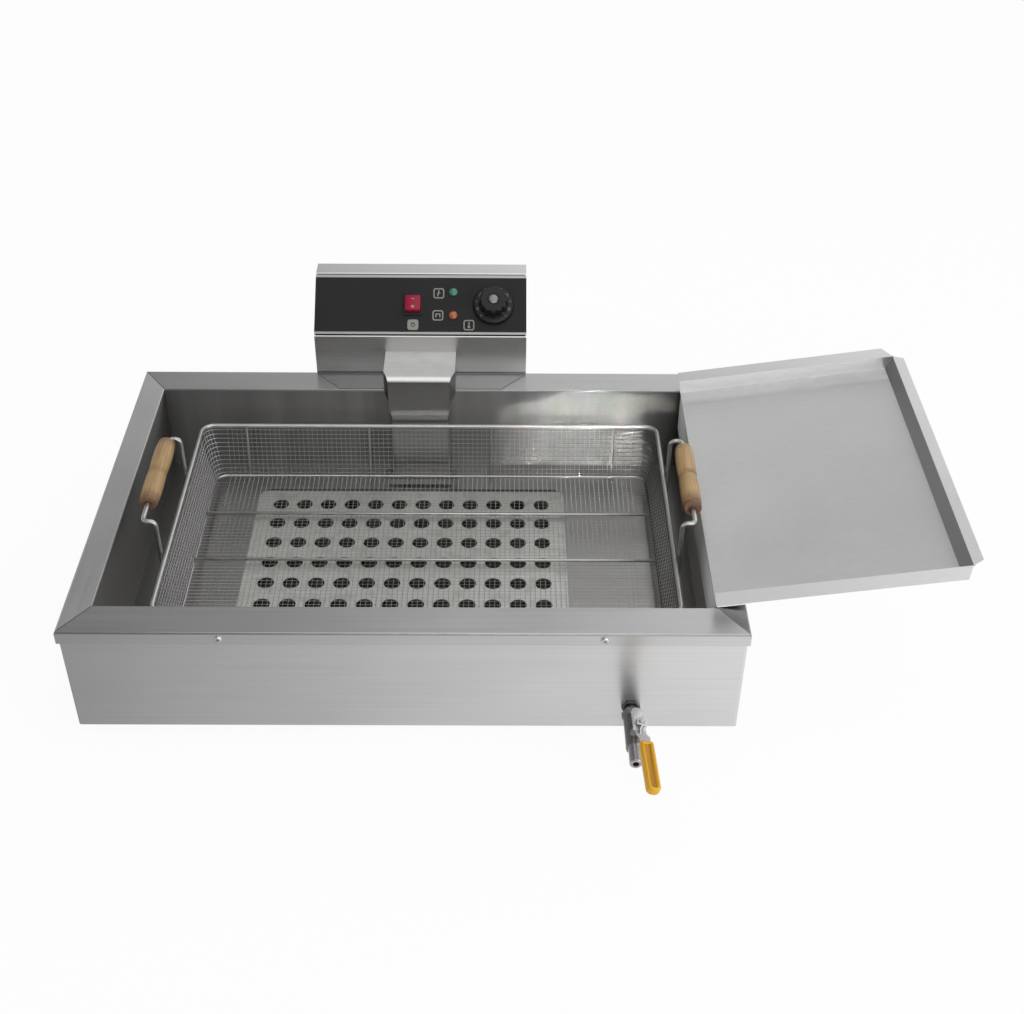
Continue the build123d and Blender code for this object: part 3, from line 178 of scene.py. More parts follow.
def plate(name, wide, high, thick, corner, place, rim=0.0, steps=5):
    """A thin plate with round corners, lying on its place; with a rim width it is only a frame."""
    piece = rectangle(wide, high, corner, steps)
    if rim:
        bpy.ops.mesh.inset(thickness=rim * MM)
        bpy.ops.mesh.delete(type="FACE")
        bpy.ops.mesh.select_all(action="SELECT")
    bpy.ops.mesh.extrude_region_move(TRANSFORM_OT_translate={"value": (0, 0, thick * MM)})
    bpy.ops.object.mode_set(mode="OBJECT")
    return settle(piece, name, place)


def lettering(name, words, height, thick, place):
    """A short mark in raised print, centred on its place."""
    clear()
    bpy.ops.object.text_add()
    text = bpy.context.object.data
    text.body = words
    text.size = height * MM
    text.align_x = "CENTER"
    text.align_y = "CENTER"
    text.resolution_u = 3
    text.extrude = thick * MM / 2
    bpy.ops.object.convert(target="MESH")
    return settle(bpy.context.object, name, place)


def joined(name, parts):
    """Several pieces made one."""
    clear()
    for part in parts:
        part.select_set(True)
    bpy.context.view_layer.objects.active = parts[0]
    bpy.ops.object.join()
    piece = bpy.context.object
    piece.name = name
    piece.data.name = name
    clear()
    return piece


def smoothed(node, soften):
    """The drawn piece over again, its triangles merged so that its curves shade as curves."""
    piece = bpy.data.objects.new(node + "_finished", nodes[node].data.copy())
    bpy.context.scene.collection.objects.link(piece)
    take(piece)
    edit_all()
    bpy.ops.mesh.customdata_custom_splitnormals_clear()
    bpy.ops.mesh.remove_doubles(threshold=2e-6)
    bpy.ops.mesh.dissolve_limited(angle_limit=radians(0.5))
    bpy.ops.object.mode_set(mode="OBJECT")
    return shade(piece, 40, soften, DRAWN_EDGE)


def pick(piece, elements, wanted):
    """Enter edit mode with only the wanted vertices or polygons of a piece selected."""
    take(piece)
    bpy.ops.object.mode_set(mode="EDIT")
    bpy.ops.mesh.select_mode(type="FACE" if elements == "polygons" else "VERT")
    bpy.ops.mesh.select_all(action="DESELECT")
    bpy.ops.object.mode_set(mode="OBJECT")
    for element in getattr(piece.data, elements):
        element.select = wanted(element)
    bpy.ops.object.mode_set(mode="EDIT")


body_of_node = {node: body for body, members in frame["record"]["behaviour"]["bodies"].items() for node in members}


def dress(piece, *finishes):
    """Give a piece its materials in place of any it has."""
    piece.data.materials.clear()
    for finish in finishes:
        piece.data.materials.append(finish)


def stand_in(piece, *covered):
    """Show a piece in place of drawn ones, riding where they ride."""
    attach(piece, body_of_node[covered[0]])
    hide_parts(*covered)


def trim(piece, finish, body):
    """Finish a small piece that no drawn piece stands for."""
    dress(piece, finish)
    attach(piece, body)


# Materials. Places in them are in metres, as Object coordinates are. Inputs go by number where names repeat:
# in a MapRange 1 and 2 are the span that is read, and 3 and 4 what it turns to, which is 0 and 1 if not given;
# in a Mix 0 is the share, and the two things mixed are 2 and 3 for numbers, 4 and 5 for ways, 6 and 7 for colours.

def colour(code):
    """An sRGB hex value as linear RGBA."""
    parts = [int(code[i:i + 2], 16) / 255 for i in (1, 3, 5)]
    linear = [c / 12.92 if c <= 0.04045 else ((c + 0.055) / 1.055) ** 2.4 for c in parts]
    return (*linear, 1.0)


def add(tree, kind, inputs=(), **settings):
    """Add a node with its settings; its inputs are numbers, hex colours, sockets, or nodes for their first output."""
    made = tree.nodes.new("ShaderNode" + kind)
    for key, value in settings.items():
        setattr(made, key, value)
    for socket, value in dict(inputs).items():
        if isinstance(value, bpy.types.Node):
            value = next(output for output in value.outputs if output.enabled)
        if isinstance(value, bpy.types.NodeSocket):
            tree.links.new(value, made.inputs[socket])
        else:
            made.inputs[socket].default_value = colour(value) if isinstance(value, str) else value
    return made


def material(name):
    """A new material, its empty node tree, and the place on the piece that its patterns go by."""
    made = bpy.data.materials.new(name)
    made.use_nodes = True
    made.node_tree.nodes.clear()
    return made, made.node_tree, add(made.node_tree, "TexCoord").outputs["Object"]


# A face is taken to look one way when its normal has this much of that way
MOSTLY = 0.7


def rim_and_tank_marks_and_light(tree, place, side, across):
    """The rim's mitres and the tank's walls: where they are brushed across, their tones, with painted shade and
    painted reflection among them, and what is dulled.
    """
    x, _, z = add(tree, "SeparateXYZ", {0: place}).outputs
    reach = add(tree, "VectorMath", {0: place}, operation="ABSOLUTE")
    reach_x, reach_y, _ = add(tree, "SeparateXYZ", {0: reach}).outputs
    right_half = add(tree, "Math", {0: x, 1: 0.0}, operation="GREATER_THAN")
    lying = add(tree, "Math", {0: side.outputs["Z"], 1: MOSTLY}, operation="GREATER_THAN")
    # the rim's end strips are brushed along Y and meet the long strips on the mitre; the left end strip is painted
    # lighter and the right one darker, as painted reflection
    past_x = add(tree, "MapRange", {0: reach_x, 1: OPENING_HALF_X * MM, 2: RIM_HALF_X * MM}, clamp=False)
    past_y = add(tree, "MapRange", {0: reach_y, 1: OPENING_HALF_Y * MM, 2: RIM_HALF_Y * MM}, clamp=False)
    beyond = add(tree, "Math", {0: past_x, 1: past_y}, operation="SUBTRACT")
    end_strip = add(tree, "Math", {0: beyond, 1: 0.0}, operation="GREATER_THAN")
    top = add(tree, "Math", {0: z, 1: 0.120}, operation="GREATER_THAN")
    on_rim = add(tree, "Math", {0: lying, 1: top}, operation="MULTIPLY")
    strip = add(tree, "Math", {0: end_strip, 1: on_rim}, operation="MULTIPLY")
    strip_reflection = add(tree, "Mix", {0: right_half, 6: "#d0d0d0", 7: "#8e8c8d"}, data_type="RGBA")
    across = add(tree, "Math", {0: across, 1: strip}, operation="MAXIMUM")
    off_mitre = add(tree, "Math", {0: beyond}, operation="ABSOLUTE")
    mitre = add(tree, "MapRange", {0: off_mitre, 1: 0.045, 2: 0.012})
    seam = add(tree, "Math", {0: mitre, 1: on_rim}, operation="MULTIPLY")
    # the bend from the rim to its lip catches less light
    turning = add(tree, "MapRange", {0: side.outputs["Z"], 1: 0.97, 2: 0.80, 4: 0.75})
    not_upright = add(tree, "MapRange", {0: side.outputs["Z"], 1: 0.05, 2: 0.25})
    bend = add(tree, "Math", {0: turning, 1: not_upright}, operation="MULTIPLY")
    # below the rim the tank is dulled by oil and heat, with runs of oil down the long walls; its walls are painted
    # darker, partly for the oil and partly as painted shade
    within_x = add(tree, "Math", {0: reach_x, 1: (OPENING_HALF_X + 3) * MM}, operation="LESS_THAN")
    within_y = add(tree, "Math", {0: reach_y, 1: (OPENING_HALF_Y + 3) * MM}, operation="LESS_THAN")
    within = add(tree, "Math", {0: within_x, 1: within_y}, operation="MULTIPLY")
    below = add(tree, "MapRange", {0: z, 1: 0.1262, 2: 0.1245})
    dulled = add(tree, "Math", {0: within, 1: below}, operation="MULTIPLY")
    drawn_down = add(tree, "Mapping", {"Vector": place, "Scale": (26, 26, 3)})
    streak = add(tree, "TexNoise", {"Vector": drawn_down, "Scale": 1.0, "Detail": 3.0})
    run = add(tree, "MapRange", {0: streak, 1: 0.35, 2: 0.65})
    long_wall = add(tree, "Mix", {0: run, 6: "#767574", 7: "#8e8d8c"}, data_type="RGBA")
    # painted shade darkens the long walls toward the tank's right end
    corner_shade = add(tree, "MapRange", {0: x, 1: 0.215, 2: 0.268, 4: 0.75})
    long_wall = add(tree, "Mix", {0: corner_shade, 6: long_wall, 7: "#3a3938"}, data_type="RGBA")
    # the left end wall is painted darker as painted shade, and the right one lighter as painted light
    lit_and_shaded_end_walls = add(tree, "Mix", {0: right_half, 6: "#686766", 7: "#9c9b9a"}, data_type="RGBA")
    walls = add(tree, "Mix", {0: across, 6: long_wall, 7: lit_and_shaded_end_walls}, data_type="RGBA")
    oil_and_shade = add(tree, "Mix", {0: lying, 6: walls, 7: "#b4b3b2"}, data_type="RGBA")
    # painted shade darkens the tank's floor under the heater's cover, where oil has also burnt on
    from_cover = add(tree, "VectorMath", {0: place, 1: COVER * MM}, operation="SUBTRACT")
    apart = add(tree, "VectorMath", {0: from_cover}, operation="ABSOLUTE")
    apart_x, apart_y, _ = add(tree, "SeparateXYZ", {0: apart}).outputs
    under_x = add(tree, "MapRange", {0: apart_x, 1: COVER_HALF_X * MM, 2: (COVER_HALF_X - 6) * MM})
    under_y = add(tree, "MapRange", {0: apart_y, 1: COVER_HALF_Y * MM, 2: (COVER_HALF_Y - 6) * MM})
    under = add(tree, "Math", {0: under_x, 1: under_y}, operation="MULTIPLY")
    shade_beneath = add(tree, "Math", {0: under, 1: lying}, operation="MULTIPLY")
    tones = [(dulled, oil_and_shade), (shade_beneath, "#494743"), (strip, strip_reflection), (bend, "#7c7c7c"), (seam, "#868686")]
    sheen = add(tree, "Mix", {0: lying, 2: 0.48, 3: 0.30})
    return across, [(*tone, "MIX") for tone in tones], dulled, {"Roughness": sheen, "Anisotropic": 0.9}


def drain_board_marks_and_light(tree, place, side, across):
    """The drain board's tones: painted light on the far wall, the right wall darker inside, the hook plate scoured
    dull with a painted dark reflection along its middle, the pan darker away from the tank and in the far bend, the
    near lip rubbed bright; and the scoured hook plate that is dulled.
    """
    x, y, z = add(tree, "SeparateXYZ", {0: place}).outputs
    # height over the pan's floor, which climbs to the right
    level = add(tree, "Math", {0: x, 1: -PAN_CLIMB, 2: z}, operation="MULTIPLY_ADD")
    # painted light: the far wall is painted brighter, most at its foot; and the right wall is darker inside
    far_wall = add(tree, "MapRange", {0: side.outputs["Y"], 1: -0.5, 2: -0.9})
    up_wall = add(tree, "MapRange", {0: level, 1: 0.0885, 2: 0.1000})
    far_wall_light = add(tree, "Mix", {0: up_wall, 6: "#fcfcfc", 7: "#e6e6e6"}, data_type="RGBA")
    inward = add(tree, "MapRange", {0: side.outputs["X"], 1: -0.5, 2: -0.9})
    # the plate that hooks into the tank is scoured dull, and painted darker along its middle as a painted reflection
    inner = add(tree, "MapRange", {0: x, 1: 0.2775, 2: 0.2765})
    under = add(tree, "MapRange", {0: z, 1: 0.1270, 2: 0.1255})
    hook = add(tree, "Math", {0: inner, 1: under}, operation="MULTIPLY")
    off_middle = add(tree, "Math", {0: y}, operation="ABSOLUTE")
    beyond_reflection = add(tree, "MapRange", {0: off_middle, 1: 0.06, 2: 0.14})
    hook_tone_and_reflection = add(tree, "Mix", {0: beyond_reflection, 6: "#a4a4a0", 7: "#f6f6f6"}, data_type="RGBA")
    # the pan's floor is palest by the tank and darker in the far bend
    low = add(tree, "MapRange", {0: level, 1: 0.096, 2: 0.093})
    lying = add(tree, "Math", {0: side.outputs["Z"], 1: MOSTLY}, operation="GREATER_THAN")
    pan = add(tree, "Math", {0: low, 1: lying}, operation="MULTIPLY")
    by_tank = add(tree, "MapRange", {0: x, 1: 0.29, 2: 0.49, 3: 1.0, 4: 0.76})
    far_bend = add(tree, "MapRange", {0: y, 1: 0.142, 2: 0.158, 3: 1.0, 4: 0.62})
    pan_darkening = add(tree, "Math", {0: by_tank, 1: far_bend}, operation="MULTIPLY")
    # the near lip is rubbed bright
    rubbed = add(tree, "MapRange", {0: y, 1: -0.1700, 2: -0.1715})
    tones = [(far_wall, far_wall_light, "MIX"), (inward, "#a2a2a2", "MIX"), (hook, hook_tone_and_reflection, "MIX"),
             (pan, pan_darkening, "MULTIPLY"), (rubbed, "#ececec", "MIX")]
    return across, tones, hook, {"Roughness": 0.62, "Metallic": 0.12}


def brushed_sheet(name, light, dark, rough, drawn, upright=None, foot=None, marks_and_light=None):
    """Brushed stainless steel sheet: a sheen drawn out square to its fine scratches, and faint smears.

    The real scratches are about 0.2 mm wide; they are drawn 1.4 mm wide so that they show.
    """
    made, tree, place = material(name)
    facing = add(tree, "NewGeometry").outputs["Normal"]
    side = add(tree, "SeparateXYZ", {0: facing})
    end_on = add(tree, "Math", {0: side.outputs["X"]}, operation="ABSOLUTE")
    across = add(tree, "Math", {0: end_on, 1: MOSTLY}, operation="GREATER_THAN")
    tones = []
    if upright:
        # what stands up is painted darker than what lies flat, as painted shade
        standing = add(tree, "MapRange", {0: side.outputs["Z"], 1: 0.8, 2: 0.3})
        tones.append((standing, upright, "MIX"))
    if foot:
        # a dark line is painted in the bend over the flange, as painted shade in the crease
        height = add(tree, "SeparateXYZ", {0: place}).outputs["Z"]
        off_bend = add(tree, "Math", {0: height, 1: foot}, operation="SUBTRACT")
        from_bend = add(tree, "Math", {0: off_bend}, operation="ABSOLUTE")
        bend_shade = add(tree, "MapRange", {0: from_bend, 1: 0.0018, 2: 0.0004, 4: 0.8})
        tones.append((bend_shade, "#383736", "MIX"))
    fouled, dulled = None, {}
    # the given function paints the sheet's wear together with painted shade, light and reflection
    if marks_and_light:
        across, marked, fouled, dulled = marks_and_light(tree, place, side, across)
        tones += marked
    scratches = []
    for stretch in ((6, 720, 720), (720, 6, 720)):
        stretched = add(tree, "Mapping", {"Vector": place, "Scale": stretch})
        scratches.append(add(tree, "TexNoise", {"Vector": stretched, "Scale": 1.0, "Detail": 2.0}))
    grain = add(tree, "Mix", {0: across, 2: scratches[0], 3: scratches[1]})
    spread = add(tree, "Mapping", {"Vector": place, "Scale": (7, 9, 14)})
    smear = add(tree, "TexNoise", {"Vector": spread, "Scale": 1.0, "Detail": 2.0})
    mixed = add(tree, "Math", {0: grain, 1: smear}, operation="ADD")
    shine = add(tree, "MapRange", {0: mixed, 1: 0.7, 2: 1.3})
    base = add(tree, "Mix", {0: shine, 6: dark, 7: light}, data_type="RGBA")
    for share, tone, way in tones:
        base = add(tree, "Mix", {0: share, 6: base, 7: tone}, data_type="RGBA", blend_type=way)
    roughness = add(tree, "MapRange", {0: mixed, 1: 0.7, 2: 1.3, 3: rough - 0.03, 4: rough + 0.04})
    finish = {"Roughness": roughness, "Metallic": 1.0, "Anisotropic": drawn}
    for socket, value in dulled.items():
        finish[socket] = add(tree, "MapRange", {0: fouled, 3: finish[socket], 4: value})
    scratch_way = add(tree, "Mix", {0: across, 4: (1, 0, 0), 5: (0, 1, 0)}, data_type="VECTOR")
    sheen_way = add(tree, "VectorMath", {0: facing, 1: scratch_way}, operation="CROSS_PRODUCT")
    relief = add(tree, "Bump", {"Height": grain, "Strength": 0.018, "Distance": 0.0001})
    shader = add(tree, "BsdfPrincipled", {"Base Color": base, "Normal": relief, "Tangent": sheen_way, **finish})
    add(tree, "OutputMaterial", {"Surface": shader})
    return made


def satin_sheet(name, light, dark, rough, stain, upright=None, tongue=None):
    """Stainless steel gone dull in use: an even grey sheen with faint spots about 15 mm across."""
    made, tree, place = material(name)
    stretched = add(tree, "Mapping", {"Vector": place, "Scale": (12, 500, 500)})
    grain = add(tree, "TexNoise", {"Vector": stretched, "Scale": 1.0, "Detail": 2.0})
    shine = add(tree, "MapRange", {0: grain, 1: 0.3, 2: 0.7})
    spots = add(tree, "TexNoise", {"Vector": place, "Scale": 66.0, "Detail": 3.0})
    patch = add(tree, "MapRange", {0: spots, 1: 0.5, 2: 0.75, 4: 0.5})
    tones = [(patch, stain)]
    roughness = add(tree, "MapRange", {0: spots, 1: 0.3, 2: 0.7, 3: rough - 0.04, 4: rough + 0.05})
    if upright:
        # only what lies flat is scuffed dull; the sides keep a gloss and are painted darker, as painted shade
        facing = add(tree, "NewGeometry").outputs["Normal"]
        side = add(tree, "SeparateXYZ", {0: facing})
        standing = add(tree, "MapRange", {0: side.outputs["Z"], 1: 0.8, 2: 0.3})
        tones.append((standing, upright))
        roughness = add(tree, "MapRange", {0: standing, 3: rough, 4: 0.28})
    if tongue:
        # painted shade darkens the tongue under the riser, and a painted shadow lies in a line along the rear edge
        along = add(tree, "SeparateXYZ", {0: place}).outputs["Y"]
        shade_beneath = add(tree, "MapRange", {0: along, 1: (COVER_REAR - 1.0) * MM, 2: (COVER_REAR + 2.5) * MM})
        off_edge = add(tree, "Math", {0: along, 1: COVER_REAR * MM}, operation="SUBTRACT")
        from_edge = add(tree, "Math", {0: off_edge}, operation="ABSOLUTE")
        rear_edge_shadow = add(tree, "MapRange", {0: from_edge, 1: 0.0030, 2: 0.0010, 4: 0.85})
        tones += [(shade_beneath, tongue), (rear_edge_shadow, "#343330")]
    base = add(tree, "Mix", {0: shine, 6: dark, 7: light}, data_type="RGBA")
    for share, tone in tones:
        base = add(tree, "Mix", {0: share, 6: base, 7: tone}, data_type="RGBA")
    shader = add(tree, "BsdfPrincipled", {"Base Color": base, "Metallic": 1.0, "Roughness": roughness})
    add(tree, "OutputMaterial", {"Surface": shader})
    return made


ENDS_FROM = 224.5
ENDS_FULL = 227.5


def plated(name, light, dark, rough, ends=()):
    """Bright plated metal: a near mirror, clouded a little by handling marks about 15 mm across."""
    made, tree, place = material(name)
    cloud = add(tree, "TexNoise", {"Vector": place, "Scale": 66.0, "Detail": 2.0})
    base = add(tree, "Mix", {0: cloud, 6: dark, 7: light}, data_type="RGBA")
    roughness = add(tree, "MapRange", {0: cloud, 1: 0.3, 2: 0.7, 3: rough - 0.05, 4: rough + 0.08})
    metal = 1.0
    if ends:
        # the basket's left end is paler and less metallic, and its right end darker
        along = add(tree, "SeparateXYZ", {0: place}).outputs["X"]
        paler_left_end = add(tree, "MapRange", {0: along, 1: (BASKET.x - ENDS_FROM) * MM, 2: (BASKET.x - ENDS_FULL) * MM})
        darker_right_end = add(tree, "MapRange", {0: along, 1: (BASKET.x + ENDS_FROM) * MM, 2: (BASKET.x + ENDS_FULL) * MM})
        for share, tone in zip((paler_left_end, darker_right_end), ends):
            base = add(tree, "Mix", {0: share, 6: base, 7: tone}, data_type="RGBA")
        metal = add(tree, "MapRange", {0: paler_left_end, 3: 1.0, 4: 0.35})
    shader = add(tree, "BsdfPrincipled", {"Base Color": base, "Metallic": metal, "Roughness": roughness})
    add(tree, "OutputMaterial", {"Surface": shader})
    return made


def moulded(name, light, dark, rough, grit, coat=0.0, shine=0.5):
    """Moulded plastic or rubber: a fine even texture of the given grit in millimetres, drawn in the bump."""
    made, tree, place = material(name)
    speck = add(tree, "TexNoise", {"Vector": place, "Scale": 1000.0 / grit, "Detail": 2.0})
    cloud = add(tree, "TexNoise", {"Vector": place, "Scale": 45.0, "Detail": 2.0})
    base = add(tree, "Mix", {0: cloud, 6: dark, 7: light}, data_type="RGBA")
    roughness = add(tree, "MapRange", {0: cloud, 1: 0.3, 2: 0.7, 3: rough - 0.05, 4: rough + 0.05})
    texture = add(tree, "Bump", {"Height": speck, "Strength": 0.15, "Distance": 0.0001})
    shader = add(tree, "BsdfPrincipled", {
        "Base Color": base, "Roughness": roughness, "Normal": texture,
        "Coat Weight": coat, "Coat Roughness": 0.12, "Specular IOR Level": shine,
    })
    add(tree, "OutputMaterial", {"Surface": shader})
    return made


def lens(name, light, dark, glow):
    """A clear coloured lens over a dark lamp well: deeper in colour where it is thicker."""
    made, tree, place = material(name)
    facets = add(tree, "TexVoronoi", {"Vector": place, "Scale": 700.0})
    base = add(tree, "Mix", {0: facets, 6: light, 7: dark}, data_type="RGBA")
    cut = add(tree, "Bump", {"Height": facets, "Strength": 0.2, "Distance": 0.0002})
    shader = add(tree, "BsdfPrincipled", {
        "Base Color": base, "Roughness": 0.18, "Normal": cut, "Coat Weight": 0.6,
        "Emission Color": light, "Emission Strength": glow,
    })
    add(tree, "OutputMaterial", {"Surface": shader})
    return made


def turned_wood(name, light, dark, end):
    """Oiled beech turned on a lathe: grain along Y, drawn about 2 mm wide, and darker ends and neck."""
    made, tree, place = material(name)
    stretched = add(tree, "Mapping", {"Vector": place, "Scale": (420, 24, 420)})
    grain = add(tree, "TexNoise", {"Vector": stretched, "Scale": 1.0, "Detail": 4.0, "Distortion": 0.6})
    year = add(tree, "MapRange", {0: grain, 1: 0.33, 2: 0.68})
    dotted = add(tree, "Mapping", {"Vector": place, "Scale": (900, 110, 900)})
    fleck = add(tree, "TexVoronoi", {"Vector": dotted, "Scale": 1.0})
    pores = add(tree, "MapRange", {0: fleck, 1: 0.25, 2: 0.0, 4: 0.35})
    along = add(tree, "SeparateXYZ", {0: place}).outputs["Y"]
    from_middle = add(tree, "Math", {0: along, 1: 0.002}, operation="ADD")
    off_neck = add(tree, "Math", {0: from_middle}, operation="ABSOLUTE")
    near_front = add(tree, "MapRange", {0: from_middle, 1: -0.030, 2: -0.047, 4: 0.95})
    near_rear = add(tree, "MapRange", {0: from_middle, 1: 0.039, 2: 0.050, 4: 0.55})
    near_end = add(tree, "Math", {0: near_front, 1: near_rear}, operation="MAXIMUM")
    near_neck = add(tree, "MapRange", {0: off_neck, 1: 0.006, 2: 0.001, 4: 0.35})
    marked = add(tree, "Math", {0: near_end, 1: near_neck}, operation="MAXIMUM")
    base = add(tree, "Mix", {0: year, 6: dark, 7: light}, data_type="RGBA")
    for share, tone in ((pores, dark), (marked, end)):
        base = add(tree, "Mix", {0: share, 6: base, 7: tone}, data_type="RGBA")
    raised = add(tree, "Bump", {"Height": grain, "Strength": 0.25, "Distance": 0.0002})
    shader = add(tree, "BsdfPrincipled", {"Base Color": base, "Roughness": 0.5, "Normal": raised})
    add(tree, "OutputMaterial", {"Surface": shader})
    return made


def printed(name, light, dark):
    """Screen print: a flat ink with a slightly broken edge of tone."""
    made, tree, place = material(name)
    ink = add(tree, "TexNoise", {"Vector": place, "Scale": 1500.0, "Detail": 2.0})
    base = add(tree, "Mix", {0: ink, 6: dark, 7: light}, data_type="RGBA")
    shader = add(tree, "BsdfPrincipled", {"Base Color": base, "Roughness": 0.6})
    add(tree, "OutputMaterial", {"Surface": shader})
    return made


def white_paper():
    """White paper: seen white by the camera, brighter to the right in the metal, shaded under the object."""
    made, tree, place = material("white_paper")
    fibre = add(tree, "TexNoise", {"Vector": place, "Scale": 900.0, "Detail": 2.0})
    tone = add(tree, "Mix", {0: fibre, 6: "#f0f0f0", 7: "#f6f6f6"}, data_type="RGBA")
    paper = add(tree, "BsdfDiffuse", {"Color": tone})
    ray = add(tree, "LightPath").outputs
    along = add(tree, "SeparateXYZ", {0: place}).outputs["X"]
    lit = add(tree, "MapRange", {0: along, 1: -0.35, 2: 0.35, 3: 0.44, 4: 1.27})
    glow = add(tree, "Mix", {0: ray["Is Glossy Ray"], 2: 1.0, 3: lit})
    white = add(tree, "Emission", {"Color": "#ffffff", "Strength": glow})
    share = 0.0
    for kind, part in (("Is Camera Ray", 0.93), ("Is Glossy Ray", 0.85), ("Is Transmission Ray", 0.85)):
        seen = add(tree, "Math", {0: ray[kind], 1: part}, operation="MULTIPLY")
        share = add(tree, "Math", {0: share, 1: seen}, operation="MAXIMUM")
    both = add(tree, "MixShader", {0: share, 1: paper, 2: white})
    add(tree, "OutputMaterial", {"Surface": both})
    return made


casing_steel = brushed_sheet("stainless_sheet_casing", "#cccccc", "#c2c2c2", 0.36, 0.85)
tank_steel = brushed_sheet("stainless_sheet_rim_and_tank", "#c0c0c0", "#b6b6b6", 0.34, 0.60, marks_and_light=rim_and_tank_marks_and_light)
# the head's and the board's upright tones are painted shade on their upright faces
head_steel = brushed_sheet("stainless_sheet_head", "#d0d0d0", "#c8c8c8", 0.30, 0.30, upright="#a2a1a1",
                           foot=FLANGE_BEND * MM)
board_steel = brushed_sheet("stainless_sheet_drain_board", "#dcdcdc", "#d4d4d4", 0.34, 0.30, upright="#d2d2d2",
                            marks_and_light=drain_board_marks_and_light)
tray_steel = brushed_sheet("stainless_sheet_panel_tray", "#a2a2a2", "#969696", 0.36, 0.30)
# the riser's upright tone is painted shade on its sides, and the cover's tongue tone painted shade under the riser
riser_steel = satin_sheet("dulled_stainless_riser", "#f6f6f3", "#f0f0ee", 0.58, "#e8e8e6", upright="#848382")
plate_steel = satin_sheet("dulled_stainless_cover", "#e4e4e0", "#d6d6d1", 0.50, "#aaa8a0", tongue="#9a9996")
zinc_sheet = satin_sheet("zinc_plated_sheet", "#b4b7ba", "#9a9da0", 0.48, "#8e9194")
wire_chrome = plated("plated_basket_wire", "#bcbcb9", "#a9a9a6", 0.36)
mesh_chrome = plated("plated_basket_mesh", "#bcbcb8", "#acaca8", 0.46, ends=("#c9c6c8", "#605e5e"))
bright_steel = plated("bright_plated_fixings", "#d0d0d0", "#b8b8b8", 0.20)
cap_steel = plated("dull_knob_disc", "#8c8c8c", "#747474", 0.40)
valve_nickel = plated("nickel_plated_valve", "#8e8a8b", "#767273", 0.36)
outlet_nickel = plated("bright_valve_outlet", "#b4b1b4", "#949094", 0.34)
pipe_steel = plated("darkened_steel_pipe", "#6a6667", "#4c4849", 0.40)
heater_alloy = plated("oxidised_heater_tube", "#5d5750", "#33302c", 0.46)
burnt_steel = plated("burnt_steel_under_cover", "#4c4845", "#34312e", 0.50)
copper_tube = plated("drawn_copper", "#8a6a58", "#5e4436", 0.40)
panel_black = moulded("black_printed_fascia", "#161616", "#111111", 0.55, 0.5, shine=0.3)
knob_black = moulded("black_phenolic_knob", "#141415", "#101011", 0.46, 0.6, shine=0.35)
nylon_black = moulded("black_nylon", "#1a1a1b", "#111112", 0.50, 0.5)
foot_rubber = moulded("black_rubber", "#161616", "#0d0d0d", 0.85, 0.9)
rocker_red = moulded("red_switch_cap", "#980c33", "#84082a", 0.38, 1.2, shine=0.3)
sleeve_yellow = moulded("yellow_dipped_vinyl", "#dca616", "#d29a0e", 0.42, 1.5, coat=0.05)
# the sunk channel's darker yellow is painted shade
sleeve_channel_shade = moulded("yellow_vinyl_channel_shade", "#c08a1e", "#b07a16", 0.50, 1.5)
case_cream = moulded("cream_phenolic", "#b8b19c", "#9c957f", 0.55, 0.6)
seat_white = moulded("white_seat_ring", "#e6e6e0", "#d5d5ce", 0.40, 0.8)
ceramic_white = moulded("glazed_ceramic", "#ebe6d8", "#d6d0bf", 0.22, 1.0, coat=0.4)
lamp_green = lens("green_lamp_lens", "#2f8062", "#145441", 0.03)
lamp_orange = lens("orange_lamp_lens", "#b05a2a", "#7a3a18", 0.03)
grip_wood = turned_wood("turned_beech", "#aa8d62", "#8d7047", "#5c3f2e")
print_grey = printed("pale_grey_print", "#8f8f88", "#7c7c76")
print_white = printed("white_print", "#c4c4c4", "#acacac")
print_dark = printed("dark_print", "#262626", "#1a1a1a")


# Sheet metal and hidden parts keep their drawn shape

for node, finish in (
    ("outer_casing", casing_steel),
    ("base_plate", zinc_sheet),
    ("oil_tank", tank_steel),
    ("back_cover", casing_steel),
    ("head_shell", head_steel),
    ("panel_tray", tray_steel),
    ("fascia", panel_black),
    ("riser_bridge", riser_steel),
    ("element_shroud", head_steel),
    ("element_rests", burnt_steel),
    ("element_clamp", burnt_steel),
    ("bulb_clip", burnt_steel),
    ("element_cover", plate_steel),
    ("drain_board", board_steel),
    ("board_bracket", board_steel),
    ("valve_seats", seat_white),
    ("thermostat_body", case_cream),
    ("contactor", nylon_black),
    ("high_limit_thermostat", case_cream),
    ("terminal_block", nylon_black),
):
    dress(nodes[node], finish)


# Round and bent pieces: the drawn shape, with its edges softened and its curves shaded as curves

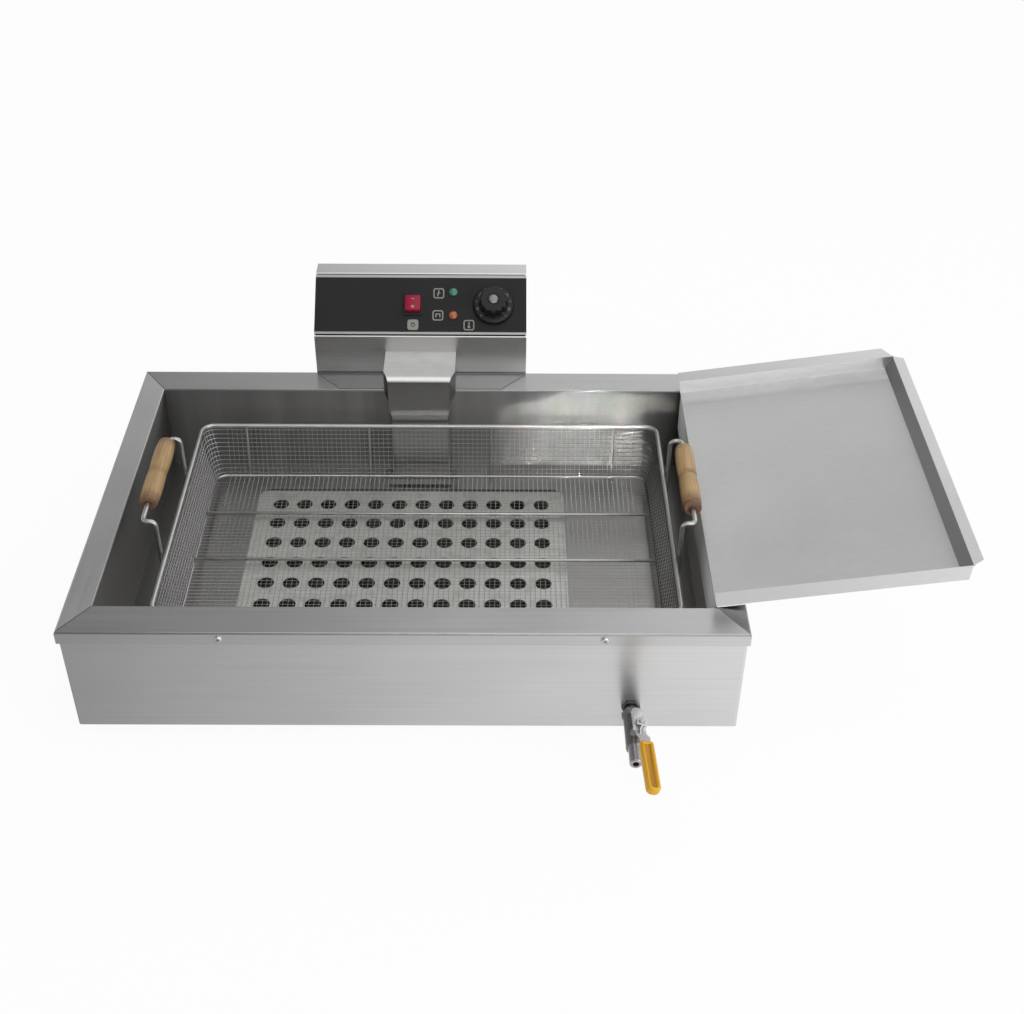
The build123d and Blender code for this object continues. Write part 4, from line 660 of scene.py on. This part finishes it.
for node, finish, soften in (
    ("rubber_feet", foot_rubber, 0.8),
    ("foot_screws", bright_steel, 0.2),
    ("drain_nipple", pipe_steel, 0.3),
    ("nipple_nut", pipe_steel, 0.5),
    ("valve_body", valve_nickel, 0.4),
    ("valve_outlet", outlet_nickel, 0.3),
    ("packing_nut", bright_steel, 0.3),
    ("lever_nut", bright_steel, 0.3),
    ("valve_ball", bright_steel, 0.0),
    ("valve_stem", bright_steel, 0.2),
    ("valve_lever", bright_steel, 0.3),
    ("rocker_housing", panel_black, 0.4),
    ("rocker_button", rocker_red, 0.7),
    ("thermostat_spindle", bright_steel, 0.2),
    ("cable_gland", nylon_black, 0.5),
    ("back_cover_screws", bright_steel, 0.4),
    ("heating_element", heater_alloy, 0.0),
    ("element_terminals", ceramic_white, 0.3),
    ("thermostat_bulb", copper_tube, 0.0),
    ("basket_rim_wire", wire_chrome, 0.0),
    ("basket_bottom_wire", wire_chrome, 0.0),
    ("basket_floor_bars", wire_chrome, 0.3),
    ("basket_ribs", wire_chrome, 0.2),
    ("left_handle_wire", wire_chrome, 0.3),
    ("right_handle_wire", wire_chrome, 0.3),
):
    copy = smoothed(node, soften)
    dress(copy, finish)
    stand_in(copy, node)


# Lever sleeve: dipped vinyl with a round tip, and a channel sunk in its top, painted darker as painted shade

SLEEVE_WIDE = 12.4
SLEEVE_LONG = 55.0
SLEEVE_HIGH = 8.0
SLEEVE_TIP = 5.6
SLEEVE_HEEL = 3.2
SLEEVE_FROM_STEM = 27.0
LEVER_HEIGHT = 24.3
CHANNEL_EDGE = 0.7
CHANNEL_SLOPE = 0.8
CHANNEL_DEPTH = 1.2
sleeve_middle = BALL + LEVER_WAY * (SLEEVE_FROM_STEM + SLEEVE_LONG / 2) + STEM_UP * (LEVER_HEIGHT - SLEEVE_HIGH / 2)
sleeve = rectangle(SLEEVE_WIDE, SLEEVE_LONG)
near_end = (SLEEVE_LONG / 2 - 0.1) * MM
for reach, at_end in ((SLEEVE_TIP, lambda v: v.co.y > near_end), (SLEEVE_HEEL, lambda v: v.co.y < -near_end)):
    pick(sleeve, "vertices", at_end)
    bpy.ops.mesh.bevel(offset=reach * MM, offset_type="OFFSET", segments=8, affect="VERTICES")
bpy.ops.mesh.select_all(action="SELECT")
bpy.ops.mesh.extrude_region_move(TRANSFORM_OT_translate={"value": (0, 0, SLEEVE_HIGH * MM)})
bpy.ops.object.mode_set(mode="OBJECT")
sleeve_place = axes(sleeve_middle, LEVER_WAY.cross(STEM_UP), STEM_UP)
settle(sleeve, "lever_sleeve_dipped", sleeve_place, smooth=50, soften=2.0)
dress(sleeve, sleeve_yellow, sleeve_channel_shade)
pick(sleeve, "polygons", lambda f: f.normal.dot(STEM_UP) > 0.999 and f.area > 100e-6)
bpy.ops.mesh.inset(thickness=CHANNEL_EDGE * MM)
bpy.ops.mesh.inset(thickness=CHANNEL_SLOPE * MM, depth=-CHANNEL_DEPTH * MM)
sleeve.active_material_index = 1
bpy.ops.object.material_slot_assign()
bpy.ops.mesh.select_mode(type="VERT")
bpy.ops.object.mode_set(mode="OBJECT")
stand_in(sleeve, "lever_sleeve")


# Basket mesh: wires 5 mm apart, welded where they cross

MESH_PITCH = 5.0
MESH_WIRE = 0.24
RING_WIRE = 0.34
RINGS = 11
WALL_LOW = BASKET_FLOOR + 1.75
WALL_HIGH = BASKET_RIM - 2.65
FLOOR_HALF_X = 230.9
FLOOR_HALF_Y = 138.4
WALL_SPREAD = 10.0 / 59.0 * (WALL_HIGH - WALL_LOW)
CORNER = 12.0


def drawn_wire(name, points):
    """A thin mesh wire drawn out along a few points, all in one plane square to its first side."""
    clear()
    start = Vector(points[0])
    ahead = (Vector(points[1]) - start).normalized()
    bpy.ops.mesh.primitive_circle_add(vertices=5, radius=MESH_WIRE * MM, fill_type="NGON")
    piece = bpy.context.object
    piece.matrix_world = Matrix.Translation(start * MM) @ ahead.to_track_quat("Z", "Y").to_matrix().to_4x4()
    bpy.ops.object.transform_apply(location=True, rotation=True)
    edit_all()
    for before, here in zip(points, points[1:]):
        step = (Vector(here) - Vector(before)) * MM
        bpy.ops.mesh.extrude_region_move(TRANSFORM_OT_translate={"value": step})
    bpy.ops.object.mode_set(mode="OBJECT")
    return settle(piece, name, Matrix.Identity(4), smooth=60)


def rank(piece, count, step):
    """A row of copies of a wire, a step apart."""
    take(piece)
    row = piece.modifiers.new("row", "ARRAY")
    row.count = count
    row.use_relative_offset = False
    row.use_constant_offset = True
    row.constant_offset_displace = Vector(step) * MM
    bpy.ops.object.modifier_apply(modifier=row.name)
    clear()
    return piece


def mesh_ring(level, half_x, half_y):
    """One wire round the basket's wall at a level."""
    rectangle(2 * half_x, 2 * half_y, CORNER, steps=4)
    bpy.ops.mesh.delete(type="ONLY_FACE")
    bpy.ops.object.mode_set(mode="OBJECT")
    bpy.ops.object.convert(target="CURVE")
    ring = bpy.context.object
    ring.data.bevel_depth = RING_WIRE * MM
    ring.data.bevel_resolution = 1
    bpy.ops.object.convert(target="MESH")
    return settle(bpy.context.object, "ring", Matrix.Translation(Vector((BASKET.x, BASKET.y, level)) * MM), smooth=60)


mesh_parts = []
for i in range(RINGS):
    share = (i + 0.5) / RINGS
    spread = share * WALL_SPREAD
    lift = WALL_LOW + share * (WALL_HIGH - WALL_LOW)
    mesh_parts.append(mesh_ring(lift, FLOOR_HALF_X + spread, FLOOR_HALF_Y + spread))

# wires over the floor and up the front and back walls
long_count = 2 * int((FLOOR_HALF_X - CORNER) / MESH_PITCH) + 1
first_x = BASKET.x - (long_count - 1) / 2 * MESH_PITCH
inner = FLOOR_HALF_Y - 2 * MESH_WIRE
over_y = drawn_wire("over_y", [
    (first_x, BASKET.y - inner - WALL_SPREAD, WALL_HIGH),
    (first_x, BASKET.y - inner, WALL_LOW),
    (first_x, BASKET.y - inner + 1.6, BASKET_FLOOR),
    (first_x, BASKET.y + inner - 1.6, BASKET_FLOOR),
    (first_x, BASKET.y + inner, WALL_LOW),
    (first_x, BASKET.y + inner + WALL_SPREAD, WALL_HIGH),
])
mesh_parts.append(rank(over_y, long_count, (MESH_PITCH, 0, 0)))

# wires over the floor and up the two ends, lying on the others
short_count = 2 * int((FLOOR_HALF_Y - CORNER) / MESH_PITCH) + 1
first_y = BASKET.y - (short_count - 1) / 2 * MESH_PITCH
inner = FLOOR_HALF_X - 2 * MESH_WIRE
lift = BASKET_FLOOR + 1.9 * MESH_WIRE
over_x = drawn_wire("over_x", [
    (BASKET.x - inner - WALL_SPREAD, first_y, WALL_HIGH),
    (BASKET.x - inner, first_y, WALL_LOW),
    (BASKET.x - inner + 1.2, first_y, lift),
    (BASKET.x + inner - 1.2, first_y, lift),
    (BASKET.x + inner, first_y, WALL_LOW),
    (BASKET.x + inner + WALL_SPREAD, first_y, WALL_HIGH),
])
mesh_parts.append(rank(over_x, short_count, (0, MESH_PITCH, 0)))

# upright wires round the four corners
for sign_x in (-1, 1):
    for sign_y in (-1, 1):
        for turn in (18, 36, 54, 72):
            out_x = sign_x * (FLOOR_HALF_X - CORNER + (CORNER - 2 * MESH_WIRE) * cos(radians(turn)))
            out_y = sign_y * (FLOOR_HALF_Y - CORNER + (CORNER - 2 * MESH_WIRE) * sin(radians(turn)))
            mesh_parts.append(drawn_wire("upright", [
                (BASKET.x + out_x, BASKET.y + out_y, WALL_LOW),
                (BASKET.x + out_x + sign_x * WALL_SPREAD, BASKET.y + out_y + sign_y * WALL_SPREAD, WALL_HIGH),
            ]))

basket_mesh = joined("basket_mesh", mesh_parts)
dress(basket_mesh, mesh_chrome)
stand_in(basket_mesh, "basket_floor_net", "basket_front_net", "basket_rear_net", "basket_left_net",
         "basket_right_net")


# Wooden grips: turned, with a bead at each end and a waist in the middle

GRIP_HEIGHT = 143.0
GRIP_HALF = [
    (0.0, 8.3), (1.2, 8.35), (2.2, 8.85), (6.0, 9.05), (14.0, 9.35), (24.0, 9.45), (33.0, 9.3), (40.0, 8.95),
    (42.0, 8.7), (42.6, 8.2), (43.4, 8.1), (44.0, 8.4), (45.5, 8.6), (47.2, 8.35), (48.4, 7.7), (49.0, 6.7),
    (49.0, 2.9), (46.0, 2.6),
]
grip_outline = [(-h, r) for h, r in reversed(GRIP_HALF)] + GRIP_HALF[1:]
for node, x, y in (("left_grip", -248.6, 2.0), ("right_grip", 264.6, -4.0)):
    place = axes((x, y, GRIP_HEIGHT), (1, 0, 0), (0, 1, 0))
    grip = turned(node + "_turned", grip_outline, place, sides=40, smooth=50)
    dress(grip, grip_wood)
    stand_in(grip, node)


# Rim screws: pan heads, their cross recess drawn as thin dark plates, as painted shade

SCREW_LEVEL = 120.0
SCREW_HEAD = [(-6.8, 1.9), (0.02, 1.9), (0.02, 3.6), (0.8, 3.6), (1.35, 3.2), (1.7, 2.4), (1.8, 1.5)]
SLOT_OUT = 1.76
heads = []
slot_shades = []
for x in (-160.5, 174.5):
    for out in (-1, 1):
        y = out * RIM_HALF_Y
        heads.append(turned("head", SCREW_HEAD, axes((x, y, SCREW_LEVEL), (1, 0, 0), (0, out, 0)), sides=32))
        for turn in (20, 110):
            wide = (cos(radians(turn)), 0, sin(radians(turn)))
            place = axes((x, y + out * SLOT_OUT, SCREW_LEVEL), wide, (0, out, 0))
            slot_shades.append(plate("slot", 3.4, 0.7, 0.06, 0.2, place))
rim_screw_heads = joined("rim_screw_heads", heads)
dress(rim_screw_heads, bright_steel)
stand_in(rim_screw_heads, "rim_screws")
# the dark plates are painted shade in the cross recess
trim(joined("rim_screw_slots", slot_shades), print_dark, "fryer")


# Indicator lamps: a bezel ring and a domed lens

LAMPS_ACROSS = 34.8
LENS_DOME = [(-16.0, 3.9), (0.0, 3.9), (0.0, 4.5), (1.3, 4.5), (2.0, 3.9), (2.45, 2.6), (2.6, 1.0)]
BEZEL = [(0.01, 5.2), (0.5, 5.2), (0.9, 4.9), (0.9, 4.55), (0.3, 4.55)]
for node, up, finish in (("green_lamp", 49.6, lamp_green), ("orange_lamp", 23.7, lamp_orange)):
    place = on_panel(LAMPS_ACROSS, up)
    dome = turned(node + "_lens", LENS_DOME, place, sides=36, smooth=50)
    dress(dome, finish)
    stand_in(dome, node)
    trim(turned(node + "_bezel", BEZEL, place, sides=36), nylon_black, "fryer")


# Rocker marks: a bar on the upper half and a ring on the lower, which slope to the rocker's middle

ROCKER_ACROSS = -8.4
ROCKER_UP = 36.0
ROCKER_PIVOT = 1.6
ROCKER_TIP = radians(9.0)
ROCKER_HALF = 8.6
ROCKER_RISE = 1.6
ROCKER_MIDDLE = 1.8
MARK_FROM_PIVOT = 4.6
rocker_out = (PANEL_OUT * cos(ROCKER_TIP) + PANEL_UP * sin(ROCKER_TIP)).normalized()
rocker_up = (PANEL_UP * cos(ROCKER_TIP) - PANEL_OUT * sin(ROCKER_TIP)).normalized()
pivot = on_panel(ROCKER_ACROSS, ROCKER_UP, FASCIA_TOP + ROCKER_PIVOT).translation / MM
slope = atan2(ROCKER_RISE, ROCKER_HALF)
mark_out = ROCKER_MIDDLE + ROCKER_RISE * MARK_FROM_PIVOT / ROCKER_HALF
for name, way in (("rocker_on_mark", 1), ("rocker_off_mark", -1)):
    spot = pivot + rocker_up * (way * MARK_FROM_PIVOT) + rocker_out * mark_out
    place = axes(spot, (1, 0, 0), rocker_out * cos(slope) - rocker_up * sin(slope) * way)
    if way > 0:
        trim(plate(name, 3.2, 0.9, PRINT, 0.3, place), print_grey, "rocker")
    else:
        trim(plate(name, 3.0, 3.0, PRINT, 1.45, place, rim=0.7, steps=6), print_white, "rocker")


# Thermostat knob: a printed skirt, a fluted grip and a bright cap

KNOB_OUTLINE = [
    (0.0, 20.5), (0.0, 21.6), (0.5, 22.0), (2.6, 21.4), (3.6, 20.7), (4.0, 19.8), (4.0, 15.6), (4.8, 15.2),
    (9.0, 14.9), (17.0, 14.3), (18.3, 13.8), (18.9, 12.8), (18.95, 6.0), (18.4, 5.4),
]
CAP_OUTLINE = [(18.4, 5.2), (18.9, 5.2), (19.5, 4.9), (19.85, 4.0), (20.0, 2.0)]
SKIRT_TOP = 4.0
FLUTE_FOOT = 4.5
FLUTE_TOP = 18.4
FLUTE_RADIUS = 13.0
FLUTE_TURN = 30.0
FLUTE_FROM = 9.0
FLUTE_TO = 21.5
FLUTE_MIDDLE = 11.0
FLUTE_SINK = 0.93
DIAL_START = 225
DIAL_STEP = 27
TICK_RADIUS = 18.3
NUMBER_RADIUS = 17.6
knob_place = on_panel(77.7, 35.0, FASCIA_TOP + 1.0)
knob = turned("thermostat_knob_moulding", KNOB_OUTLINE, knob_place, sides=96, smooth=30)
centre = knob_place.inverted()


def in_flute(vertex):
    """Whether a vertex of the knob lies in one of its twelve flutes."""
    local = centre @ vertex.co
    turn = degrees(atan2(local.y, local.x)) % FLUTE_TURN
    on_grip = FLUTE_FOOT < local.z / MM < FLUTE_TOP and hypot(local.x, local.y) / MM > FLUTE_RADIUS
    return on_grip and FLUTE_FROM < turn < FLUTE_TO


def on_dial(step, radius):
    """A place on the knob's skirt, at a step of the scale, and the way out from the axis there."""
    turn = radians(DIAL_START - DIAL_STEP * step)
    outward = Vector((cos(turn), sin(turn), 0))
    return knob_place @ (outward * radius * MM + Vector((0, 0, SKIRT_TOP * MM))) / MM, knob_place.to_3x3() @ outward


pick(knob, "vertices", in_flute)
middle = knob_place @ Vector((0, 0, FLUTE_MIDDLE * MM))
bpy.ops.transform.resize(value=(FLUTE_SINK, FLUTE_SINK, FLUTE_SINK), center_override=middle)
bpy.ops.object.mode_set(mode="OBJECT")
settle(knob, knob.name, Matrix.Identity(4), smooth=38)
dress(knob, knob_black)
stand_in(knob, "thermostat_knob")
cap = turned("knob_cap_disc", CAP_OUTLINE, knob_place, sides=40)
dress(cap, cap_steel)
stand_in(cap, "knob_cap")
dial = []
for step in range(11):
    spot, outward = on_dial(step, TICK_RADIUS)
    long = 1.5 if step % 2 else 2.6
    dial.append(plate("tick", long, 0.45, PRINT, 0, axes(spot, outward, PANEL_OUT)))
for step, words in ((1, "80"), (3, "110"), (5, "140"), (7, "170"), (9, "200")):
    spot, outward = on_dial(step, NUMBER_RADIUS)
    dial.append(lettering("number", words, 3.0, PRINT, axes(spot, outward.cross(PANEL_OUT), PANEL_OUT)))
trim(joined("knob_scale", dial), print_grey, "knob")


# Printed signs on the fascia: plain squares, of which three hold simple figures and one is filled

POWER = (-8.0, 13.0)
HEAT_SIGN = (19.2, 48.4)
TANK_SIGN = (18.5, 23.6)
DIAL_SIGN = (51.7, 12.8)
signs = []
for sign in (POWER, HEAT_SIGN, TANK_SIGN, DIAL_SIGN):
    signs.append(plate("sign_frame", 11.6, 11.6, PRINT, 2.6, on_panel(*sign), rim=1.3))
    if sign == POWER:
        signs.append(plate("sign_field", 9.4, 9.4, 0.04, 1.4, on_panel(*sign)))
for (across, up), strokes in (
    (HEAT_SIGN, ((0.0, 1.6, 1.3, 3.8), (-1.0, -1.6, 1.3, 3.8), (0.0, 0.0, 3.4, 1.1))),
    (TANK_SIGN, ((0.0, 1.5, 5.4, 1.2), (-2.1, -0.6, 1.2, 3.2), (2.1, -0.6, 1.2, 3.2))),
    (DIAL_SIGN, ((0.0, 1.2, 1.4, 4.6), (0.0, -2.0, 2.6, 2.6))),
):
    for x, y, wide, high in strokes:
        signs.append(plate("figure", wide, high, PRINT, 0.4, on_panel(across + x, up + y)))
trim(joined("fascia_signs", signs), print_grey, "fryer")
across, up = POWER
over_field = FASCIA_TOP + 0.03
power_parts = [
    plate("power_ring", 5.0, 5.0, PRINT, 2.4, on_panel(across, up, over_field), rim=0.8, steps=7),
    plate("power_bar", 0.9, 3.0, 0.06, 0.3, on_panel(across, up + 1.6, over_field)),
]
trim(joined("power_sign", power_parts), print_dark, "fryer")


# Floor, light and camera

clear()
bpy.ops.mesh.primitive_plane_add(size=24, location=(0, 0, 0))
floor = bpy.context.object
floor.name = "floor"
dress(floor, white_paper())

# A studio that is bright low down, dim above, brighter to the right and far left, with a window in front.
# Its levels go by the direction, whose X, Y and Z run from -1 to 1.
world = bpy.data.worlds.new("studio")
bpy.context.scene.world = world
world.use_nodes = True
sky = world.node_tree
sky.nodes.clear()
way = add(sky, "TexCoord").outputs["Generated"]
x, y, z = add(sky, "SeparateXYZ", {0: way}).outputs
ramp = add(sky, "ValToRGB", {0: z})
stops = ramp.color_ramp.elements
stops[0].position, stops[0].color = 0.40, (1.0, 1.0, 1.0, 1)
stops[1].position, stops[1].color = 0.95, (0.52, 0.52, 0.52, 1)
for position, level in ((0.515, 1.0), (0.550, 0.56), (0.62, 0.37), (0.68, 0.26)):
    stops.new(position).color = (level, level, level, 1)
# levels by side
rightward = add(sky, "MapRange", {0: x, 1: -0.40, 2: 0.40, 3: 0.10, 4: 2.3})
far_right = add(sky, "MapRange", {0: x, 1: 0.45, 2: 0.95, 3: 1.0, 4: 0.36})
far_left = add(sky, "MapRange", {0: x, 1: -0.28, 2: -0.62, 4: 0.66})
frontward = add(sky, "MapRange", {0: y, 1: -0.3, 2: -0.8, 3: 1.0, 4: 0.8})
sideways = add(sky, "Math", {0: rightward, 1: far_right, 2: far_left}, operation="MULTIPLY_ADD")
level = add(sky, "Math", {0: sideways, 1: frontward}, operation="MULTIPLY")
# the window, a tall narrow pane
aside = add(sky, "Math", {0: x, 1: 0.06}, operation="SUBTRACT")
off_pane = add(sky, "Math", {0: aside}, operation="ABSOLUTE")
pane = add(sky, "MapRange", {0: off_pane, 1: 0.10, 2: 0.04})
raised = add(sky, "MapRange", {0: z, 1: 0.46, 2: 0.60, 4: 6.6})
in_front = add(sky, "MapRange", {0: y, 1: -0.55, 2: -0.70})
panel = add(sky, "Math", {0: pane, 1: raised}, operation="MULTIPLY")
window = add(sky, "Math", {0: panel, 1: in_front}, operation="MULTIPLY")
total = add(sky, "Math", {0: ramp, 1: level, 2: window}, operation="MULTIPLY_ADD")
soft = add(sky, "Background", {"Color": "#ffffff", "Strength": total})
white = add(sky, "Background", {"Color": "#ffffff", "Strength": 1.0})
ray = add(sky, "LightPath").outputs["Is Camera Ray"]
both = add(sky, "MixShader", {0: ray, 1: soft, 2: white})
add(sky, "OutputWorld", {"Surface": both})


def softbox(name, place, aim, wide, high, power, beam=180):
    """A soft studio lamp aimed at a point, with its beam narrowed to some degrees."""
    lamp = bpy.data.lights.new(name, "AREA")
    lamp.shape = "RECTANGLE"
    lamp.size = wide
    lamp.size_y = high
    lamp.energy = power
    lamp.spread = radians(beam)
    made = bpy.data.objects.new(name, lamp)
    bpy.context.scene.collection.objects.link(made)
    made.location = place
    made.rotation_euler = (Vector(aim) - Vector(place)).to_track_quat("-Z", "Y").to_euler()


softbox("overhead_lamp", (0.1, -0.1, 2.2), (0, 0, 0), 1.8, 1.4, 7.5)
# a low beam, as from a window, on the right half of the tank's rear wall
softbox("window_beam", (0.30, -1.90, 0.85), (0.182, 0.17, 0.081), 0.13, 0.03, 0.050, beam=3.2)
softbox("right_lamp", (1.7, -1.3, 0.9), (0.2, -0.3, 0.0), 1.6, 1.6, 12)

CAMERA_PLACE = (0.08533, -1.13406, 0.99012)
YAW = radians(0.47)
PITCH = radians(38.0)
ROLL = radians(0.52)
ahead = Vector((sin(YAW) * cos(PITCH), cos(YAW) * cos(PITCH), -sin(PITCH)))
right = Vector((cos(YAW), -sin(YAW), 0.0))
above = right.cross(ahead)
tilted_right = right * cos(ROLL) + above * sin(ROLL)
tilted_up = above * cos(ROLL) - right * sin(ROLL)
lens_data = bpy.data.cameras.new("camera")
lens_data.sensor_fit = "HORIZONTAL"
lens_data.sensor_width = 36.0
lens_data.lens = 51.37
lens_data.clip_start = 0.01
camera = bpy.data.objects.new("camera", lens_data)
bpy.context.scene.collection.objects.link(camera)
turn = Matrix((tilted_right, tilted_up, -ahead)).transposed().to_4x4()
camera.matrix_world = Matrix.Translation(CAMERA_PLACE) @ turn
bpy.context.scene.camera = camera
bpy.context.scene.view_settings.view_transform = "Standard"
